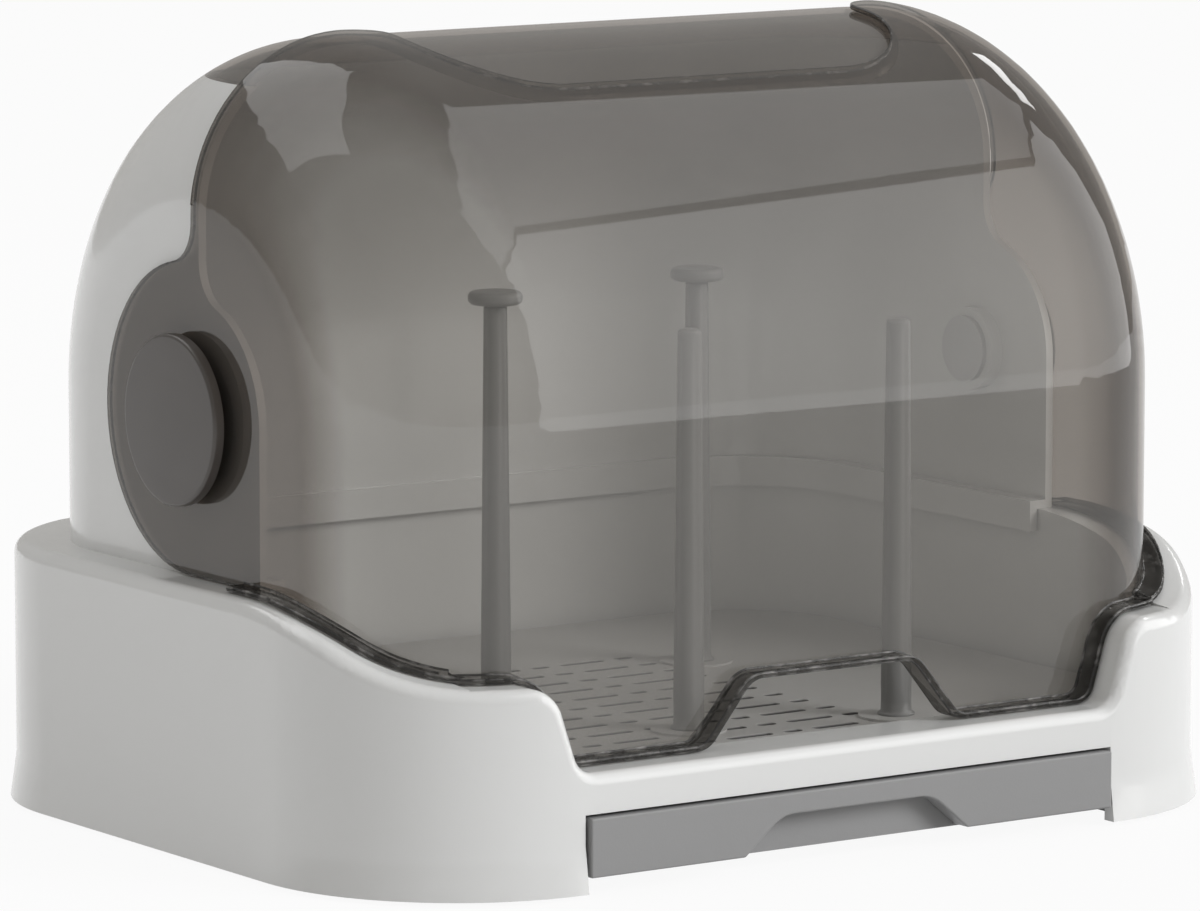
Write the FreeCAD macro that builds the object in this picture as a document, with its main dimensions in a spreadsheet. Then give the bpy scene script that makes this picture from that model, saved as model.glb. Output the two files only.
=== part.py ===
import FreeCAD, Part
import math
import os
import Sketcher
from FreeCAD import Vector

# Drying cabinet for feeding bottles: a white tub with a drip drawer, a slotted rack with
# pegs, a white rear shell with a smoked top cap, and a smoked lid that swings back over it.
# Frame: millimetres, +Z up, origin under the middle of the tub, front faces -Y.

doc = FreeCAD.newDocument("bottle_drying_rack")
sheet = doc.addObject("Spreadsheet::Sheet", "Sizes")

# Driving dimensions in millimetres, or degrees where the note says so
SIZES = (
    ("base_width", 370.0, "tub, outside width at the skirt"),
    ("base_depth", 298.0, "tub, outside depth at the skirt"),
    ("base_corner", 76.0, "tub, plan corner radius"),
    ("skirt_out", 2.2, "flare of the tub's foot"),
    ("skirt_height", 16.0, "height of the flare"),
    ("pad_height", 3.5, "foot pads under the floor plate"),
    ("pad_radius", 9.0, "foot pad radius"),
    ("pad_inset", 45.0, "foot pad centre from the tub's sides"),
    ("skirt_gap", 1.5, "tub's lower edge above the table"),
    ("floor_thick", 2.0, "floor plate"),
    ("tub_wall", 3.0, "tub, thickness of its double wall"),
    ("rim_inset", 25.0, "width of the tub's rim"),
    ("rim_height", 92.0, "rim at the sides and back"),
    ("post_height", 70.0, "rim at the front corners"),
    ("sill_height", 40.5, "sill of the front window"),
    ("rim_round", 5.0, "rounding along the rim's outer edge"),
    ("fall_start", 97.0, "where the side rim starts to fall, behind the tub's front"),
    ("fall_run", 113.0, "length of the rim's fall"),
    ("fall_lean", 0.6, "how far the fall turns with the corner, run per millimetre"),
    ("window_foot", 75.7, "window, from the tub's side at the sill"),
    ("window_head", 66.3, "window, from the tub's side at the corner posts"),
    ("window_round", 13.0, "window, rounding at the posts"),
    ("window_fillet", 8.0, "window, fillet at the sill"),
    ("window_edge", 4.0, "window, rounding of its outer edge"),
    ("window_depth", 60.0, "window, reach back from the tub's front"),
    ("bay_inset", 76.2, "drawer opening, from the tub's side"),
    ("bay_top", 27.3, "drawer opening, top"),
    ("drawer_gap", 1.0, "gap around the drawer"),
    ("stop_gap", 0.5, "gap behind the drawer"),
    ("drawer_lift", 0.5, "drawer above the floor plate"),
    ("drawer_short", 63.0, "drawer, shorter than the tub"),
    ("drawer_wall", 2.0, "drawer, wall and bottom"),
    ("front_thick", 8.0, "drawer, front panel"),
    ("pull_half", 46.0, "finger notch of the drawer, half width at the bottom"),
    ("pull_head", 31.0, "finger notch of the drawer, half width at the top"),
    ("pull_height", 12.6, "finger notch of the drawer, height"),
    ("pull_round", 14.0, "finger notch of the drawer, top rounding"),
    ("deck_gap", 0.4, "gap around the drip deck"),
    ("deck_bottom", 28.7, "drip deck, underside"),
    ("deck_thick", 2.8, "drip deck, plate"),
    ("deck_step", 3.0, "drip deck, height of the step that carries the rack"),
    ("deck_ledge", 8.6, "drip deck, width of that step"),
    ("deck_side", 85.0, "drip deck opening, from the tub's side"),
    ("deck_front", 37.0, "drip deck opening, from the tub's front"),
    ("deck_back", 71.0, "drip deck opening, from the tub's back"),
    ("deck_round", 12.0, "drip deck opening, corners"),
    ("leg_radius", 5.0, "drip deck, legs"),
    ("leg_side", 50.0, "drip deck legs, from the tub's side"),
    ("leg_end", 59.0, "drip deck legs, from the tub's front and back"),
    ("rack_gap", 5.5, "gap between the rack and the tub's inner wall"),
    ("rack_thick", 3.0, "rack plate"),
    ("rack_rib", 2.4, "rack, depth of the stiffening rim below the plate"),
    ("rack_rib_inset", 5.0, "rack, stiffening rim from the plate's edge"),
    ("rack_rib_wall", 2.0, "rack, thickness of the stiffening rim"),
    ("slot_width", 4.0, "drain slots, width"),
    ("slot_long", 19.0, "drain slots, long ones"),
    ("slot_short", 7.6, "drain slots, short ones"),
    ("slot_pitch_x", 36.0, "drain slots, pattern along the width"),
    ("slot_pitch_y", 15.2, "drain slots, pattern along the depth"),
    ("slot_left", 85.5, "drain slots, first long slot's middle, to the left"),
    ("slot_front", 43.5, "drain slots, first row behind the tub's front"),
    ("peg_height", 136.0, "pegs above the rack"),
    ("peg_foot", 5.3, "pegs, radius at the foot"),
    ("peg_head", 4.1, "pegs, radius at the top"),
    ("peg_collar", 7.4, "pegs, collar radius"),
    ("peg_collar_height", 1.6, "pegs, collar height"),
    ("boss_radius", 13.0, "raised boss around each peg"),
    ("boss_height", 0.8, "raised boss, height"),
    ("spigot_radius", 3.6, "peg spigot in the rack"),
    ("spigot_gap", 0.05, "peg spigot, clearance"),
    ("knob_radius", 9.5, "mushroom heads on the rear pegs"),
    ("knob_height", 4.6, "mushroom heads, height"),
    ("hinge_height", 145.5, "hinge axis above the table"),
    ("lid_side", 16.0, "lid, from the tub's side"),
    ("lid_front", 21.4, "lid, from the tub's front"),
    ("lid_corner", 60.0, "lid, radius of corners and shoulders"),
    ("lid_wall", 2.0, "lid, thickness"),
    ("lid_gap", 0.8, "between lid and rear shell"),
    ("lid_clear", 0.4, "lid above the rim"),
    ("flange_out", 7.5, "lid flange, width"),
    ("flange_thick", 2.0, "lid flange, thickness"),
    ("flange_start", 35.0, "lid flange starts this far ahead of the hinge line"),
    ("lid_back", 2.0, "lid's rear edge ahead of the hinge line"),
    ("ear_fillet", 14.0, "lid, fillet above the round ear"),
    ("grip_foot", 51.0, "lid finger notch, half width at the sill"),
    ("grip_head", 33.0, "lid finger notch, half width at the top"),
    ("grip_top", 63.0, "lid finger notch, top above the table"),
    ("grip_round", 9.0, "lid finger notch, roundings"),
    ("scoop_side", 72.0, "scoop in the lid's top, from the lid's side"),
    ("scoop_reach", 62.0, "scoop, front edge ahead of the hinge line"),
    ("scoop_round", 40.0, "scoop, corner radius"),
    ("scoop_flare", 14.0, "scoop, flare at the lid's rear edge"),
    ("shell_wall", 3.0, "rear shell, thickness"),
    ("shell_front", -3.0, "rear shell's front edge behind the hinge line"),
    ("shell_round", 40.3, "rear shell, radius of the front edge about the hinge"),
    ("shell_fillet", 16.0, "rear shell, fillet above that round"),
    ("cap_drop", 14.3, "where the white shell ends and the smoked cap begins, below the roof's top"),
    ("cap_wall", 2.2, "top cap, thickness"),
    ("cap_side", 4.0, "top cap tongue beyond the scoop's sides"),
    ("cap_lap", 2.0, "top cap tongue beyond the scoop's front edge"),
    ("foot_thick", 3.0, "rear shell, foot flange"),
    ("lip_depth", 8.0, "rear shell, locating lip inside the tub"),
    ("lip_wall", 3.0, "rear shell, locating lip thickness"),
    ("lip_gap", 0.6, "rear shell, locating lip clearance"),
    ("shaft_radius", 10.0, "hinge shafts"),
    ("shaft_gap", 0.08, "hinge shafts, running clearance in the lid"),
    ("hub_radius", 15.0, "rear shell, hinge boss radius"),
    ("hub_depth", 5.0, "rear shell, hinge boss height inside"),
    ("disc_radius", 29.0, "hinge discs"),
    ("disc_thick", 3.8, "hinge discs, thickness of the plate"),
    ("disc_hub", 22.5, "hinge discs, radius of the hub under the plate"),
    ("disc_stand", 3.4, "hinge discs, height of that hub"),
    ("disc_round", 1.2, "hinge discs, edge rounding"),
    ("disc_gap", 0.4, "hinge discs, gap to the lid"),
    ("disc_socket", 3.0, "hinge discs, depth of the shaft's socket"),
    ("washer_radius", 16.0, "hinge washers, outside radius"),
    ("washer_thick", 0.6, "hinge washers, thickness"),
    ("screw_radius", 2.0, "screws, shank"),
    ("screw_head", 3.9, "screws, head radius"),
    ("screw_head_height", 1.8, "screws, head height"),
    ("screw_length", 14.0, "screws, length below the head"),
    ("column_radius", 9.0, "screw columns in the tub's double wall"),
    ("column_end", 69.0, "screw columns, from the tub's front and back"),
)

# Pegs: name, to the right, behind the tub's front, and whether a mushroom head sits on top
PEGS = (
    ("front_left", -24.0, 64.0, False),
    ("front_right", 50.0, 46.0, False),
    ("rear_left", -40.0, 157.0, True),
    ("rear_right", 58.0, 175.0, True),
)

for row, (name, number, note) in enumerate(SIZES, start=1):
    sheet.set("A%d" % row, name)
    sheet.set("B%d" % row, repr(number))
    sheet.set("C%d" % row, note)
    sheet.setAlias("B%d" % row, name)
doc.recompute()

size = {name: float(getattr(sheet, name)) for name, number, note in SIZES}
FAR = 3 * size["base_width"]

# Places that several pieces share, as expressions of the sheet
FLOOR_TOP = "(Sizes.pad_height + Sizes.floor_thick)"
DRAWER_LOW = "(%s + Sizes.drawer_lift)" % FLOOR_TOP
DECK_TOP = "(Sizes.deck_bottom + Sizes.deck_thick)"
RACK_LOW = "(%s + Sizes.deck_step)" % DECK_TOP
RACK_TOP = "(%s + Sizes.rack_thick)" % RACK_LOW
BOSS_TOP = "(%s + Sizes.boss_height)" % RACK_TOP
BAY_HALF = "(Sizes.base_width / 2 - Sizes.bay_inset)"
DRAWER_LENGTH = "(Sizes.base_depth - Sizes.drawer_short)"
LID_HALF = "(Sizes.base_width / 2 - Sizes.lid_side)"
LID_RADIUS = "(Sizes.base_depth / 2 - Sizes.lid_front)"
SHELL_HALF = "(%s - Sizes.lid_wall - Sizes.lid_gap)" % LID_HALF
SHELL_RADIUS = "(%s - Sizes.lid_wall - Sizes.lid_gap)" % LID_RADIUS
SHELL_CORNER = "(Sizes.lid_corner - Sizes.lid_wall - Sizes.lid_gap)"
CAP_LINE = "(Sizes.hinge_height + %s - Sizes.cap_drop)" % SHELL_RADIUS
COLUMN_OUT = "(Sizes.base_width / 2 - (Sizes.skirt_out + Sizes.rim_inset) / 2)"
COLUMN_APART = "(Sizes.base_depth / 2 - Sizes.column_end)"
LEG_OUT = "(Sizes.base_width / 2 - Sizes.leg_side)"
LEG_APART = "(Sizes.base_depth / 2 - Sizes.leg_end)"


def number_of(expression):
    """The value of an expression of the sheet."""
    found = sheet.evalExpression(expression)
    return float(getattr(found, "Value", found))


def bind(thing, **expressions):
    """Binds properties of an object to expressions; two underscores stand for a dot."""
    for name, expression in expressions.items():
        thing.setExpression(name.replace("__", "."), expression)
    return thing


def new_body(name):
    body = doc.addObject("PartDesign::Body", name)
    body.Label = name
    return body


def new_sketch(body, name, role, offset="0"):
    """A sketch on one of the body's own planes, moved along the plane's normal."""
    sketch = body.newObject("Sketcher::SketchObject", name)
    plane = [p for p in body.Origin.OriginFeatures if p.Role == role][0]
    sketch.AttachmentSupport = [(plane, "")]
    sketch.MapMode = "FlatFace"
    sketch.setExpression("AttachmentOffset.Base.z", offset)
    return sketch


def name_size(sketch, constraint, name, expression):
    """Adds a dimension and ties it to the sheet."""
    index = sketch.addConstraint(constraint)
    sketch.renameConstraint(index, name)
    sketch.setExpression("Constraints." + name, expression)


def arc(centre_x, centre_y, radius, start, end):
    circle = Part.Circle(Vector(centre_x, centre_y, 0), Vector(0, 0, 1), radius)
    return Part.ArcOfCircle(circle, math.radians(start), math.radians(end))


def line(x0, y0, x1, y1):
    return Part.LineSegment(Vector(x0, y0, 0), Vector(x1, y1, 0))


def join(sketch, kind, pairs):
    """Joins ends of geometry: each pair is (first, its point, second, its point)."""
    for first, first_end, second, second_end in pairs:
        sketch.addConstraint(Sketcher.Constraint(kind, first, first_end, second, second_end))


def plan_loop(sketch, label, half_width, half_depth, corner):
    """A rounded rectangle about the sketch's origin; the sizes are expressions."""
    w, d, r = number_of(half_width), number_of(half_depth), number_of(corner)
    first = sketch.GeometryCount
    front, right, back, left = first, first + 2, first + 4, first + 6
    sketch.addGeometry([
        line(-w + r, -d, w - r, -d), arc(w - r, -d + r, r, -90, 0),
        line(w, -d + r, w, d - r), arc(w - r, d - r, r, 0, 90),
        line(w - r, d, -w + r, d), arc(-w + r, d - r, r, 90, 180),
        line(-w, d - r, -w, -d + r), arc(-w + r, -d + r, r, 180, 270)], False)
    for step in range(8):
        here = first + step
        there = first + (step + 1) % 8
        join(sketch, "Tangent", [(here, 2, there, 1)])
    for flat in (front, back):
        sketch.addConstraint(Sketcher.Constraint("Horizontal", flat))
    for upright in (right, left):
        sketch.addConstraint(Sketcher.Constraint("Vertical", upright))
    for step in (3, 5, 7):
        sketch.addConstraint(Sketcher.Constraint("Equal", first + 1, first + step))
    name_size(sketch, Sketcher.Constraint("Radius", first + 1, r), label + "_corner", corner)
    name_size(sketch, Sketcher.Constraint("DistanceY", front, 1, -1, 1, d), label + "_front", half_depth)
    name_size(sketch, Sketcher.Constraint("DistanceY", -1, 1, back, 1, d), label + "_back", half_depth)
    name_size(sketch, Sketcher.Constraint("DistanceX", -1, 1, right, 1, w), label + "_right", half_width)
    name_size(sketch, Sketcher.Constraint("DistanceX", left, 1, -1, 1, w), label + "_left", half_width)


def half_loop(sketch, half_width, depth, corner):
    """The rear half of a rounded rectangle, closed along the sketch's horizontal axis."""
    w, d, r = number_of(half_width), number_of(depth), number_of(corner)
    sketch.addGeometry([
        line(-w, 0, w, 0), line(w, 0, w, d - r), arc(w - r, d - r, r, 0, 90),
        line(w - r, d, -w + r, d), arc(-w + r, d - r, r, 90, 180), line(-w, d - r, -w, 0)], False)
    join(sketch, "Coincident", [(0, 2, 1, 1), (5, 2, 0, 1)])
    join(sketch, "Tangent", [(1, 2, 2, 1), (2, 2, 3, 1), (3, 2, 4, 1), (4, 2, 5, 1)])
    sketch.addConstraint(Sketcher.Constraint("Horizontal", 0))
    sketch.addConstraint(Sketcher.Constraint("PointOnObject", 0, 1, -1))
    sketch.addConstraint(Sketcher.Constraint("Vertical", 1))
    sketch.addConstraint(Sketcher.Constraint("Vertical", 5))
    sketch.addConstraint(Sketcher.Constraint("Horizontal", 3))
    sketch.addConstraint(Sketcher.Constraint("Equal", 2, 4))
    name_size(sketch, Sketcher.Constraint("Radius", 2, r), "corner", corner)
    name_size(sketch, Sketcher.Constraint("DistanceY", -1, 1, 3, 1, d), "reach", depth)
    name_size(sketch, Sketcher.Constraint("DistanceX", -1, 1, 1, 1, w), "right", half_width)
    name_size(sketch, Sketcher.Constraint("DistanceX", 5, 1, -1, 1, w), "left", half_width)


def pad(body, name, sketch, length, **more):
    feature = body.newObject("PartDesign::Pad", name)
    feature.Profile = sketch
    bind(feature, Length=length, **more)
    return feature


def pocket(body, name, sketch, length, reversed_cut=False):
    feature = body.newObject("PartDesign::Pocket", name)
    feature.Profile = sketch
    feature.Reversed = reversed_cut
    bind(feature, Length=length)
    return feature


def inset_loop(sketch, label, inset):
    """The tub's plan, moved inwards by an expression."""
    plan_loop(sketch, label, "Sizes.base_width / 2 - " + inset,
              "Sizes.base_depth / 2 - " + inset, "Sizes.base_corner - " + inset)


def inset_block(name, inset, low, high, hole=None):
    """A prism of the tub's plan moved inwards, with an optional inner loop."""
    body = new_body(name)
    sketch = new_sketch(body, name + "_plan", "XY_Plane", low)
    inset_loop(sketch, "outer", inset)
    if hole:
        inset_loop(sketch, "inner", hole)
    pad(body, name + "_pad", sketch, "%s - %s" % (high, low))
    return body


def dome(name, half_width, radius, corner, low):
    """A prism up to the hinge line, and above it half a turn about the hinge line."""
    body = new_body(name)
    plan = new_sketch(body, name + "_plan", "XY_Plane", low)
    plan_loop(plan, "plan", half_width, radius, corner)
    pad(body, name + "_pad", plan, "Sizes.hinge_height - (%s)" % low)
    profile = new_sketch(body, name + "_profile", "XY_Plane", "Sizes.hinge_height")
    half_loop(profile, half_width, radius, corner)
    turn = body.newObject("PartDesign::Revolution", name + "_turn")
    turn.Profile = profile
    turn.ReferenceAxis = (profile, ["H_Axis"])
    turn.Angle = 180
    return body


def boolean(kind, name, base, tool):
    result = doc.addObject("Part::" + kind, name)
    result.Base = base
    result.Tool = tool
    return result


def fuse(name, shapes):
    result = doc.addObject("Part::MultiFuse", name)
    result.Shapes = shapes
    return result


def box(name, low, high):
    """A box between two corners, each a triple of expressions."""
    result = doc.addObject("Part::Box", name)
    spans = ["%s - (%s)" % (top, bottom) for bottom, top in zip(low, high)]
    bind(result, Length=spans[0], Width=spans[1], Height=spans[2])
    bind(result, Placement__Base__x=low[0], Placement__Base__y=low[1], Placement__Base__z=low[2])
    return result


def rod(name, radius, length, x, y, z, axis="z"):
    """A round rod from its start point along +Z or +X."""
    result = doc.addObject("Part::Cylinder", name)
    if axis == "x":
        result.Placement = FreeCAD.Placement(Vector(0, 0, 0), FreeCAD.Rotation(Vector(0, 1, 0), 90))
    bind(result, Radius=radius, Height=length)
    bind(result, Placement__Base__x=x, Placement__Base__y=y, Placement__Base__z=z)
    return result


def stored(name, shape):
    """A document object that keeps a shape worked out from the sheet's values."""
    result = doc.addObject("Part::Feature", name)
    result.Shape = shape
    result.Placement = FreeCAD.Placement()
    return result


# Outlines that no primitive has: the rim's fall, the window and the notches

def path_face(points):
    """A face from corner points; a point with a third value is rounded by that radius."""
    corners = [Vector(p[0], p[1], 0) for p in points]
    radii = [p[2] if len(p) > 2 else 0.0 for p in points]
    starts, ends, arcs = [], [], []
    for index, corner in enumerate(corners):
        before = (corners[index - 1] - corner).normalize()
        after = (corners[(index + 1) % len(corners)] - corner).normalize()
        radius = radii[index]
        half = before.getAngle(after) / 2
        if radius <= 0:
            starts.append(corner)
            ends.append(corner)
            arcs.append(None)
            continue
        along = radius / math.tan(half)
        middle = (before + after).normalize() * (radius / math.sin(half) - radius)
        starts.append(corner + before * along)
        ends.append(corner + after * along)
        arcs.append(Part.Arc(starts[-1], corner + middle, ends[-1]).toShape())
    edges = []
    for index in range(len(corners)):
        if arcs[index] is not None:
            edges.append(arcs[index])
        follower = starts[(index + 1) % len(corners)]
        if (follower - ends[index]).Length > 1e-6:
            edges.append(Part.LineSegment(ends[index], follower).toShape())
    return Part.Face(Part.Wire(edges))


def upright_side(face):
    """Turns a face drawn as (depth, height) into the plane across the width."""
    turned = face.copy()
    turned.Placement = FreeCAD.Placement(Vector(), FreeCAD.Rotation(Vector(1, 1, 1), 120))
    return turned


def upright_front(face):
    """Turns a face drawn as (width, height) into the plane across the depth."""
    turned = face.copy()
    turned.Placement = FreeCAD.Placement(Vector(), FreeCAD.Rotation(Vector(1, 0, 0), 90))
    return turned


def rim_fall_space(offset):
    """Everything above the tub's rim, raised by an offset: two slanted extrusions."""
    high, low = size["rim_height"], size["post_height"]
    drop, run = high - low, size["fall_run"]
    bend = (run * run + drop * drop) / (4 * drop)
    shift = size["fall_lean"] * size["base_width"] / 2
    start = shift + size["fall_start"] - size["base_depth"] / 2
    end = start - run
    middle = Vector((start + end) / 2, (high + low) / 2, 0)
    upper, lower = Vector(start, high - bend, 0), Vector(end, low + bend, 0)
    turn = math.asin(run / (2 * bend)) / 2

    def on_upper(angle):
        return upper + Vector(-math.sin(angle), math.cos(angle), 0) * (bend + offset)

    def on_lower(angle):
        return lower + Vector(math.sin(angle), -math.cos(angle), 0) * (bend - offset)

    halfway = on_upper(2 * turn)
    edges = [
        Part.LineSegment(Vector(FAR, high + offset, 0), on_upper(0)).toShape(),
        Part.Arc(on_upper(0), on_upper(turn), halfway).toShape(),
        Part.Arc(halfway, on_lower(turn), on_lower(0)).toShape(),
        Part.LineSegment(on_lower(0), Vector(-FAR, low + offset, 0)).toShape(),
        Part.LineSegment(Vector(-FAR, low + offset, 0), Vector(-FAR, FAR, 0)).toShape(),
        Part.LineSegment(Vector(-FAR, FAR, 0), Vector(FAR, FAR, 0)).toShape(),
        Part.LineSegment(Vector(FAR, FAR, 0), Vector(FAR, high + offset, 0)).toShape()]
    face = upright_side(Part.Face(Part.Wire(edges)))
    reach = size["base_width"]
    sides = [face.extrude(Vector(side * reach, -size["fall_lean"] * reach, 0)) for side in (-1, 1)]
    return sides[0].fuse(sides[1])


def window_space(offset):
    """The window in the tub's front, narrowed by an offset."""
    foot = size["base_width"] / 2 - size["window_foot"]
    head = size["base_width"] / 2 - size["window_head"]
    sill, post = size["sill_height"], size["post_height"]
    lean = math.hypot(head - foot, post - sill) / (post - sill)
    slope = (head - foot) / (post - sill)
    foot_x = foot - offset * lean + offset * slope
    head_x = head - offset * lean + offset * slope
    flare = head_x + size["window_round"] * 2
    fillet = size["window_fillet"] - offset
    rounding = size["window_round"] + offset
    right = [(foot_x, sill + offset, fillet), (head_x, post + offset, rounding),
             (flare, post + offset), (flare, FAR)]
    left = [(-p[0],) + tuple(p[1:]) for p in reversed(right)]
    face = upright_front(path_face(right + left))
    front = size["base_depth"] / 2
    face.translate(Vector(0, -front + size["window_depth"], 0))
    return face.extrude(Vector(0, -size["window_depth"] - size["base_depth"] / 4, 0))


def grip_space(offset):
    """The finger notch in the lid's front, widened by an offset."""
    foot, head = size["grip_foot"] + offset, size["grip_head"] + offset
    sill, top = size["sill_height"], size["grip_top"] + offset
    outer, inner = size["grip_round"] + offset, size["grip_round"] - offset
    tail = foot + 3 * size["grip_round"]
    low = sill + size["lid_clear"] + offset
    right = [(tail, 0), (tail, low), (foot, low, inner), (head, top, outer)]
    left = [(-p[0],) + tuple(p[1:]) for p in reversed(right)]
    face = upright_front(path_face(right + left))
    return face.extrude(Vector(0, -FAR, 0))


def lid_space(offset):
    """Where the lid may be: above the rim and in the window, but not in the finger notch."""
    gap = size["lid_clear"]
    room = rim_fall_space(gap + offset).fuse(window_space(gap + offset))
    return room.cut(grip_space(offset))


def shell_side_space():
    """Side view of the rear shell: its front edge swells forward around the hinge."""
    edge, swell = size["shell_front"], size["shell_round"]
    fillet, axis = size["shell_fillet"], size["hinge_height"]
    height = math.sqrt((swell + fillet) ** 2 - (edge - fillet) ** 2)
    centre = Vector(edge - fillet, axis + height, 0)
    touch = Vector(0, axis, 0) + (centre - Vector(0, axis, 0)) * (swell / (swell + fillet))
    lift = math.atan2(touch.y - axis, touch.x)
    middle = (math.pi + lift) / 2
    halfway = Vector(swell * math.cos(middle), axis + swell * math.sin(middle), 0)
    bow = math.atan2(touch.y - centre.y, touch.x - centre.x) / 2
    bow_point = centre + Vector(math.cos(bow), math.sin(bow), 0) * fillet
    low, high = size["rim_height"], number_of(CAP_LINE)
    front = Vector(-swell, axis, 0)
    step = Vector(edge, centre.y, 0)
    loop = [Vector(edge, high, 0), Vector(FAR, high, 0), Vector(FAR, low, 0), Vector(-swell, low, 0)]
    edges = [Part.Arc(front, halfway, touch).toShape(), Part.Arc(touch, bow_point, step).toShape()]
    ends = [step] + loop + [front]
    edges += [Part.LineSegment(a, b).toShape() for a, b in zip(ends, ends[1:])]
    face = upright_side(Part.Face(Part.Wire(edges)))
    face.translate(Vector(-FAR / 2, 0, 0))
    return face.extrude(Vector(FAR, 0, 0))


def lid_side_space():
    """Side view of the lid: straight rear edge, round ear about the hinge."""
    axis, edge = size["hinge_height"], -size["lid_back"]
    ear = axis - size["rim_height"] - size["lid_clear"]
    fillet = size["ear_fillet"]
    height = math.sqrt((ear + fillet) ** 2 - (edge + fillet) ** 2)
    centre = Vector(edge + fillet, axis + height, 0)
    touch = Vector(0, axis, 0) + (centre - Vector(0, axis, 0)) * (ear / (ear + fillet))
    lift = math.atan2(touch.y - axis, touch.x)
    middle = (lift - math.pi / 2) / 2
    halfway = Vector(ear * math.cos(middle), axis + ear * math.sin(middle), 0)
    below = math.atan2(touch.y - centre.y, touch.x - centre.x)
    bow = (below - math.pi) / 2
    bow_point = centre + Vector(math.cos(bow), math.sin(bow), 0) * fillet
    bottom = Vector(0, axis - ear, 0)
    step = Vector(edge, centre.y, 0)
    loop = [Vector(edge, FAR, 0), Vector(-FAR, FAR, 0), Vector(-FAR, -FAR, 0), Vector(0, -FAR, 0)]
    edges = [Part.Arc(bottom, halfway, touch).toShape(), Part.Arc(touch, bow_point, step).toShape()]
    ends = [step] + loop + [bottom]
    edges += [Part.LineSegment(a, b).toShape() for a, b in zip(ends, ends[1:])]
    face = upright_side(Part.Face(Part.Wire(edges)))
    face.translate(Vector(-FAR / 2, 0, 0))
    return face.extrude(Vector(FAR, 0, 0))


def scoop_space(side, front, back, flare):
    """Plan of the scoop in the lid's top, raised through the top of the dome."""
    half = number_of(LID_HALF) - size["scoop_side"] + side
    reach = -size["scoop_reach"] - front
    corner = size["scoop_round"] + side
    right = [(half, reach, corner)]
    if flare:
        right += [(half, -size["lid_back"], flare), (half + 2 * flare, -size["lid_back"])]
        right += [(half + 2 * flare, back)]
    else:
        right += [(half, back)]
    left = [(-p[0],) + tuple(p[1:]) for p in reversed(right)]
    face = path_face(right + left)
    face.translate(Vector(0, 0, size["hinge_height"] + number_of(LID_RADIUS) / 2))
    return face.extrude(Vector(0, 0, FAR))


nodes = {}


# Base tub: double wall with a falling rim, a front window and a bay for the drawer

def make_tub():
    block = new_body("tub_block")
    wall = new_sketch(block, "tub_wall_plan", "XY_Plane", "Sizes.skirt_gap")
    inset_loop(wall, "wall", "Sizes.skirt_out")
    pad(block, "tub_wall_pad", wall, "Sizes.rim_height - Sizes.skirt_gap")
    skirt = new_sketch(block, "tub_skirt_plan", "XY_Plane", "Sizes.skirt_gap")
    inset_loop(skirt, "skirt", "0")
    pad(block, "tub_skirt_pad", skirt, "Sizes.skirt_height",
        TaperAngle="-atan(Sizes.skirt_out * 1.02 / Sizes.skirt_height)")
    well = inset_block("tub_well", "Sizes.rim_inset", "0", "Sizes.rim_height + 1")
    cavity = inset_block("tub_cavity", "(Sizes.skirt_out + Sizes.tub_wall)", "0",
                         "Sizes.rim_height - Sizes.tub_wall", "(Sizes.rim_inset - Sizes.tub_wall)")
    seat = inset_block("tub_floor_seat", "(Sizes.skirt_out + Sizes.tub_wall)", "0", FLOOR_TOP)
    bay = box("tub_bay", ("-" + BAY_HALF, "-Sizes.base_depth / 2 - 5", "-5"),
              (BAY_HALF, "-Sizes.base_depth / 2 + Sizes.rim_inset + 5", "Sizes.bay_top"))
    bay_skin = box("tub_bay_skin",
                   ("-%s - Sizes.tub_wall" % BAY_HALF, "-Sizes.base_depth / 2 + Sizes.skirt_out", "0"),
                   (BAY_HALF + " + Sizes.tub_wall", "-Sizes.base_depth / 2 + Sizes.rim_inset",
                    "Sizes.bay_top + Sizes.tub_wall"))
    columns, pilots = [], []
    for side in (-1, 1):
        for row in (-1, 0, 1):
            tag = "%s%d" % ("left" if side < 0 else "right", row + 2)
            place = ("%d * %s" % (side, COLUMN_OUT), "%d * %s" % (row, COLUMN_APART))
            columns.append(rod("tub_column_" + tag, "Sizes.column_radius",
                               "Sizes.deck_bottom - %s" % FLOOR_TOP, *place, FLOOR_TOP))
            pilots.append(rod("tub_pilot_" + tag, "Sizes.screw_radius", "Sizes.screw_length + 2",
                              *place, "Sizes.pad_height - 1"))
    fallen = boolean("Cut", "tub_fallen", block, stored("tub_above_rim", rim_fall_space(0)))
    round_rim = rounded_edges("tub_round_rim", fallen, size["rim_round"], size["post_height"])
    windowed = boolean("Cut", "tub_windowed", round_rim, stored("tub_window", window_space(0)))
    round_window = rounded_edges("tub_round_window", windowed, size["window_edge"], size["sill_height"])
    low_skin = -size["tub_wall"]
    under = stored("tub_under_skin", rim_fall_space(low_skin).fuse(window_space(low_skin)))
    hollow = boolean("Cut", "tub_hollow_low", cavity, under)
    hollow = boolean("Cut", "tub_hollow", hollow, bay_skin)
    ring = boolean("Cut", "tub_ring", round_window, well)
    ring = boolean("Cut", "tub_double_wall", ring, hollow)
    ring = boolean("Cut", "tub_seated", ring, seat)
    ring = fuse("tub_with_columns", [ring] + columns)
    ring = boolean("Cut", "tub_open_bay", ring, bay)
    nodes["base_tub"] = boolean("Cut", "base_tub", ring, fuse("tub_pilots", pilots))


def rounded_edges(name, base, radius, lowest):
    """Rounds the edges between the tub's outside wall and what was cut from its top."""
    doc.recompute()
    result = doc.addObject("Part::Fillet", name)
    result.Base = base
    result.Edges = [(index, radius, radius) for index in outer_rim_edges(base.Shape, lowest)]
    doc.recompute()
    return result


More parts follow.
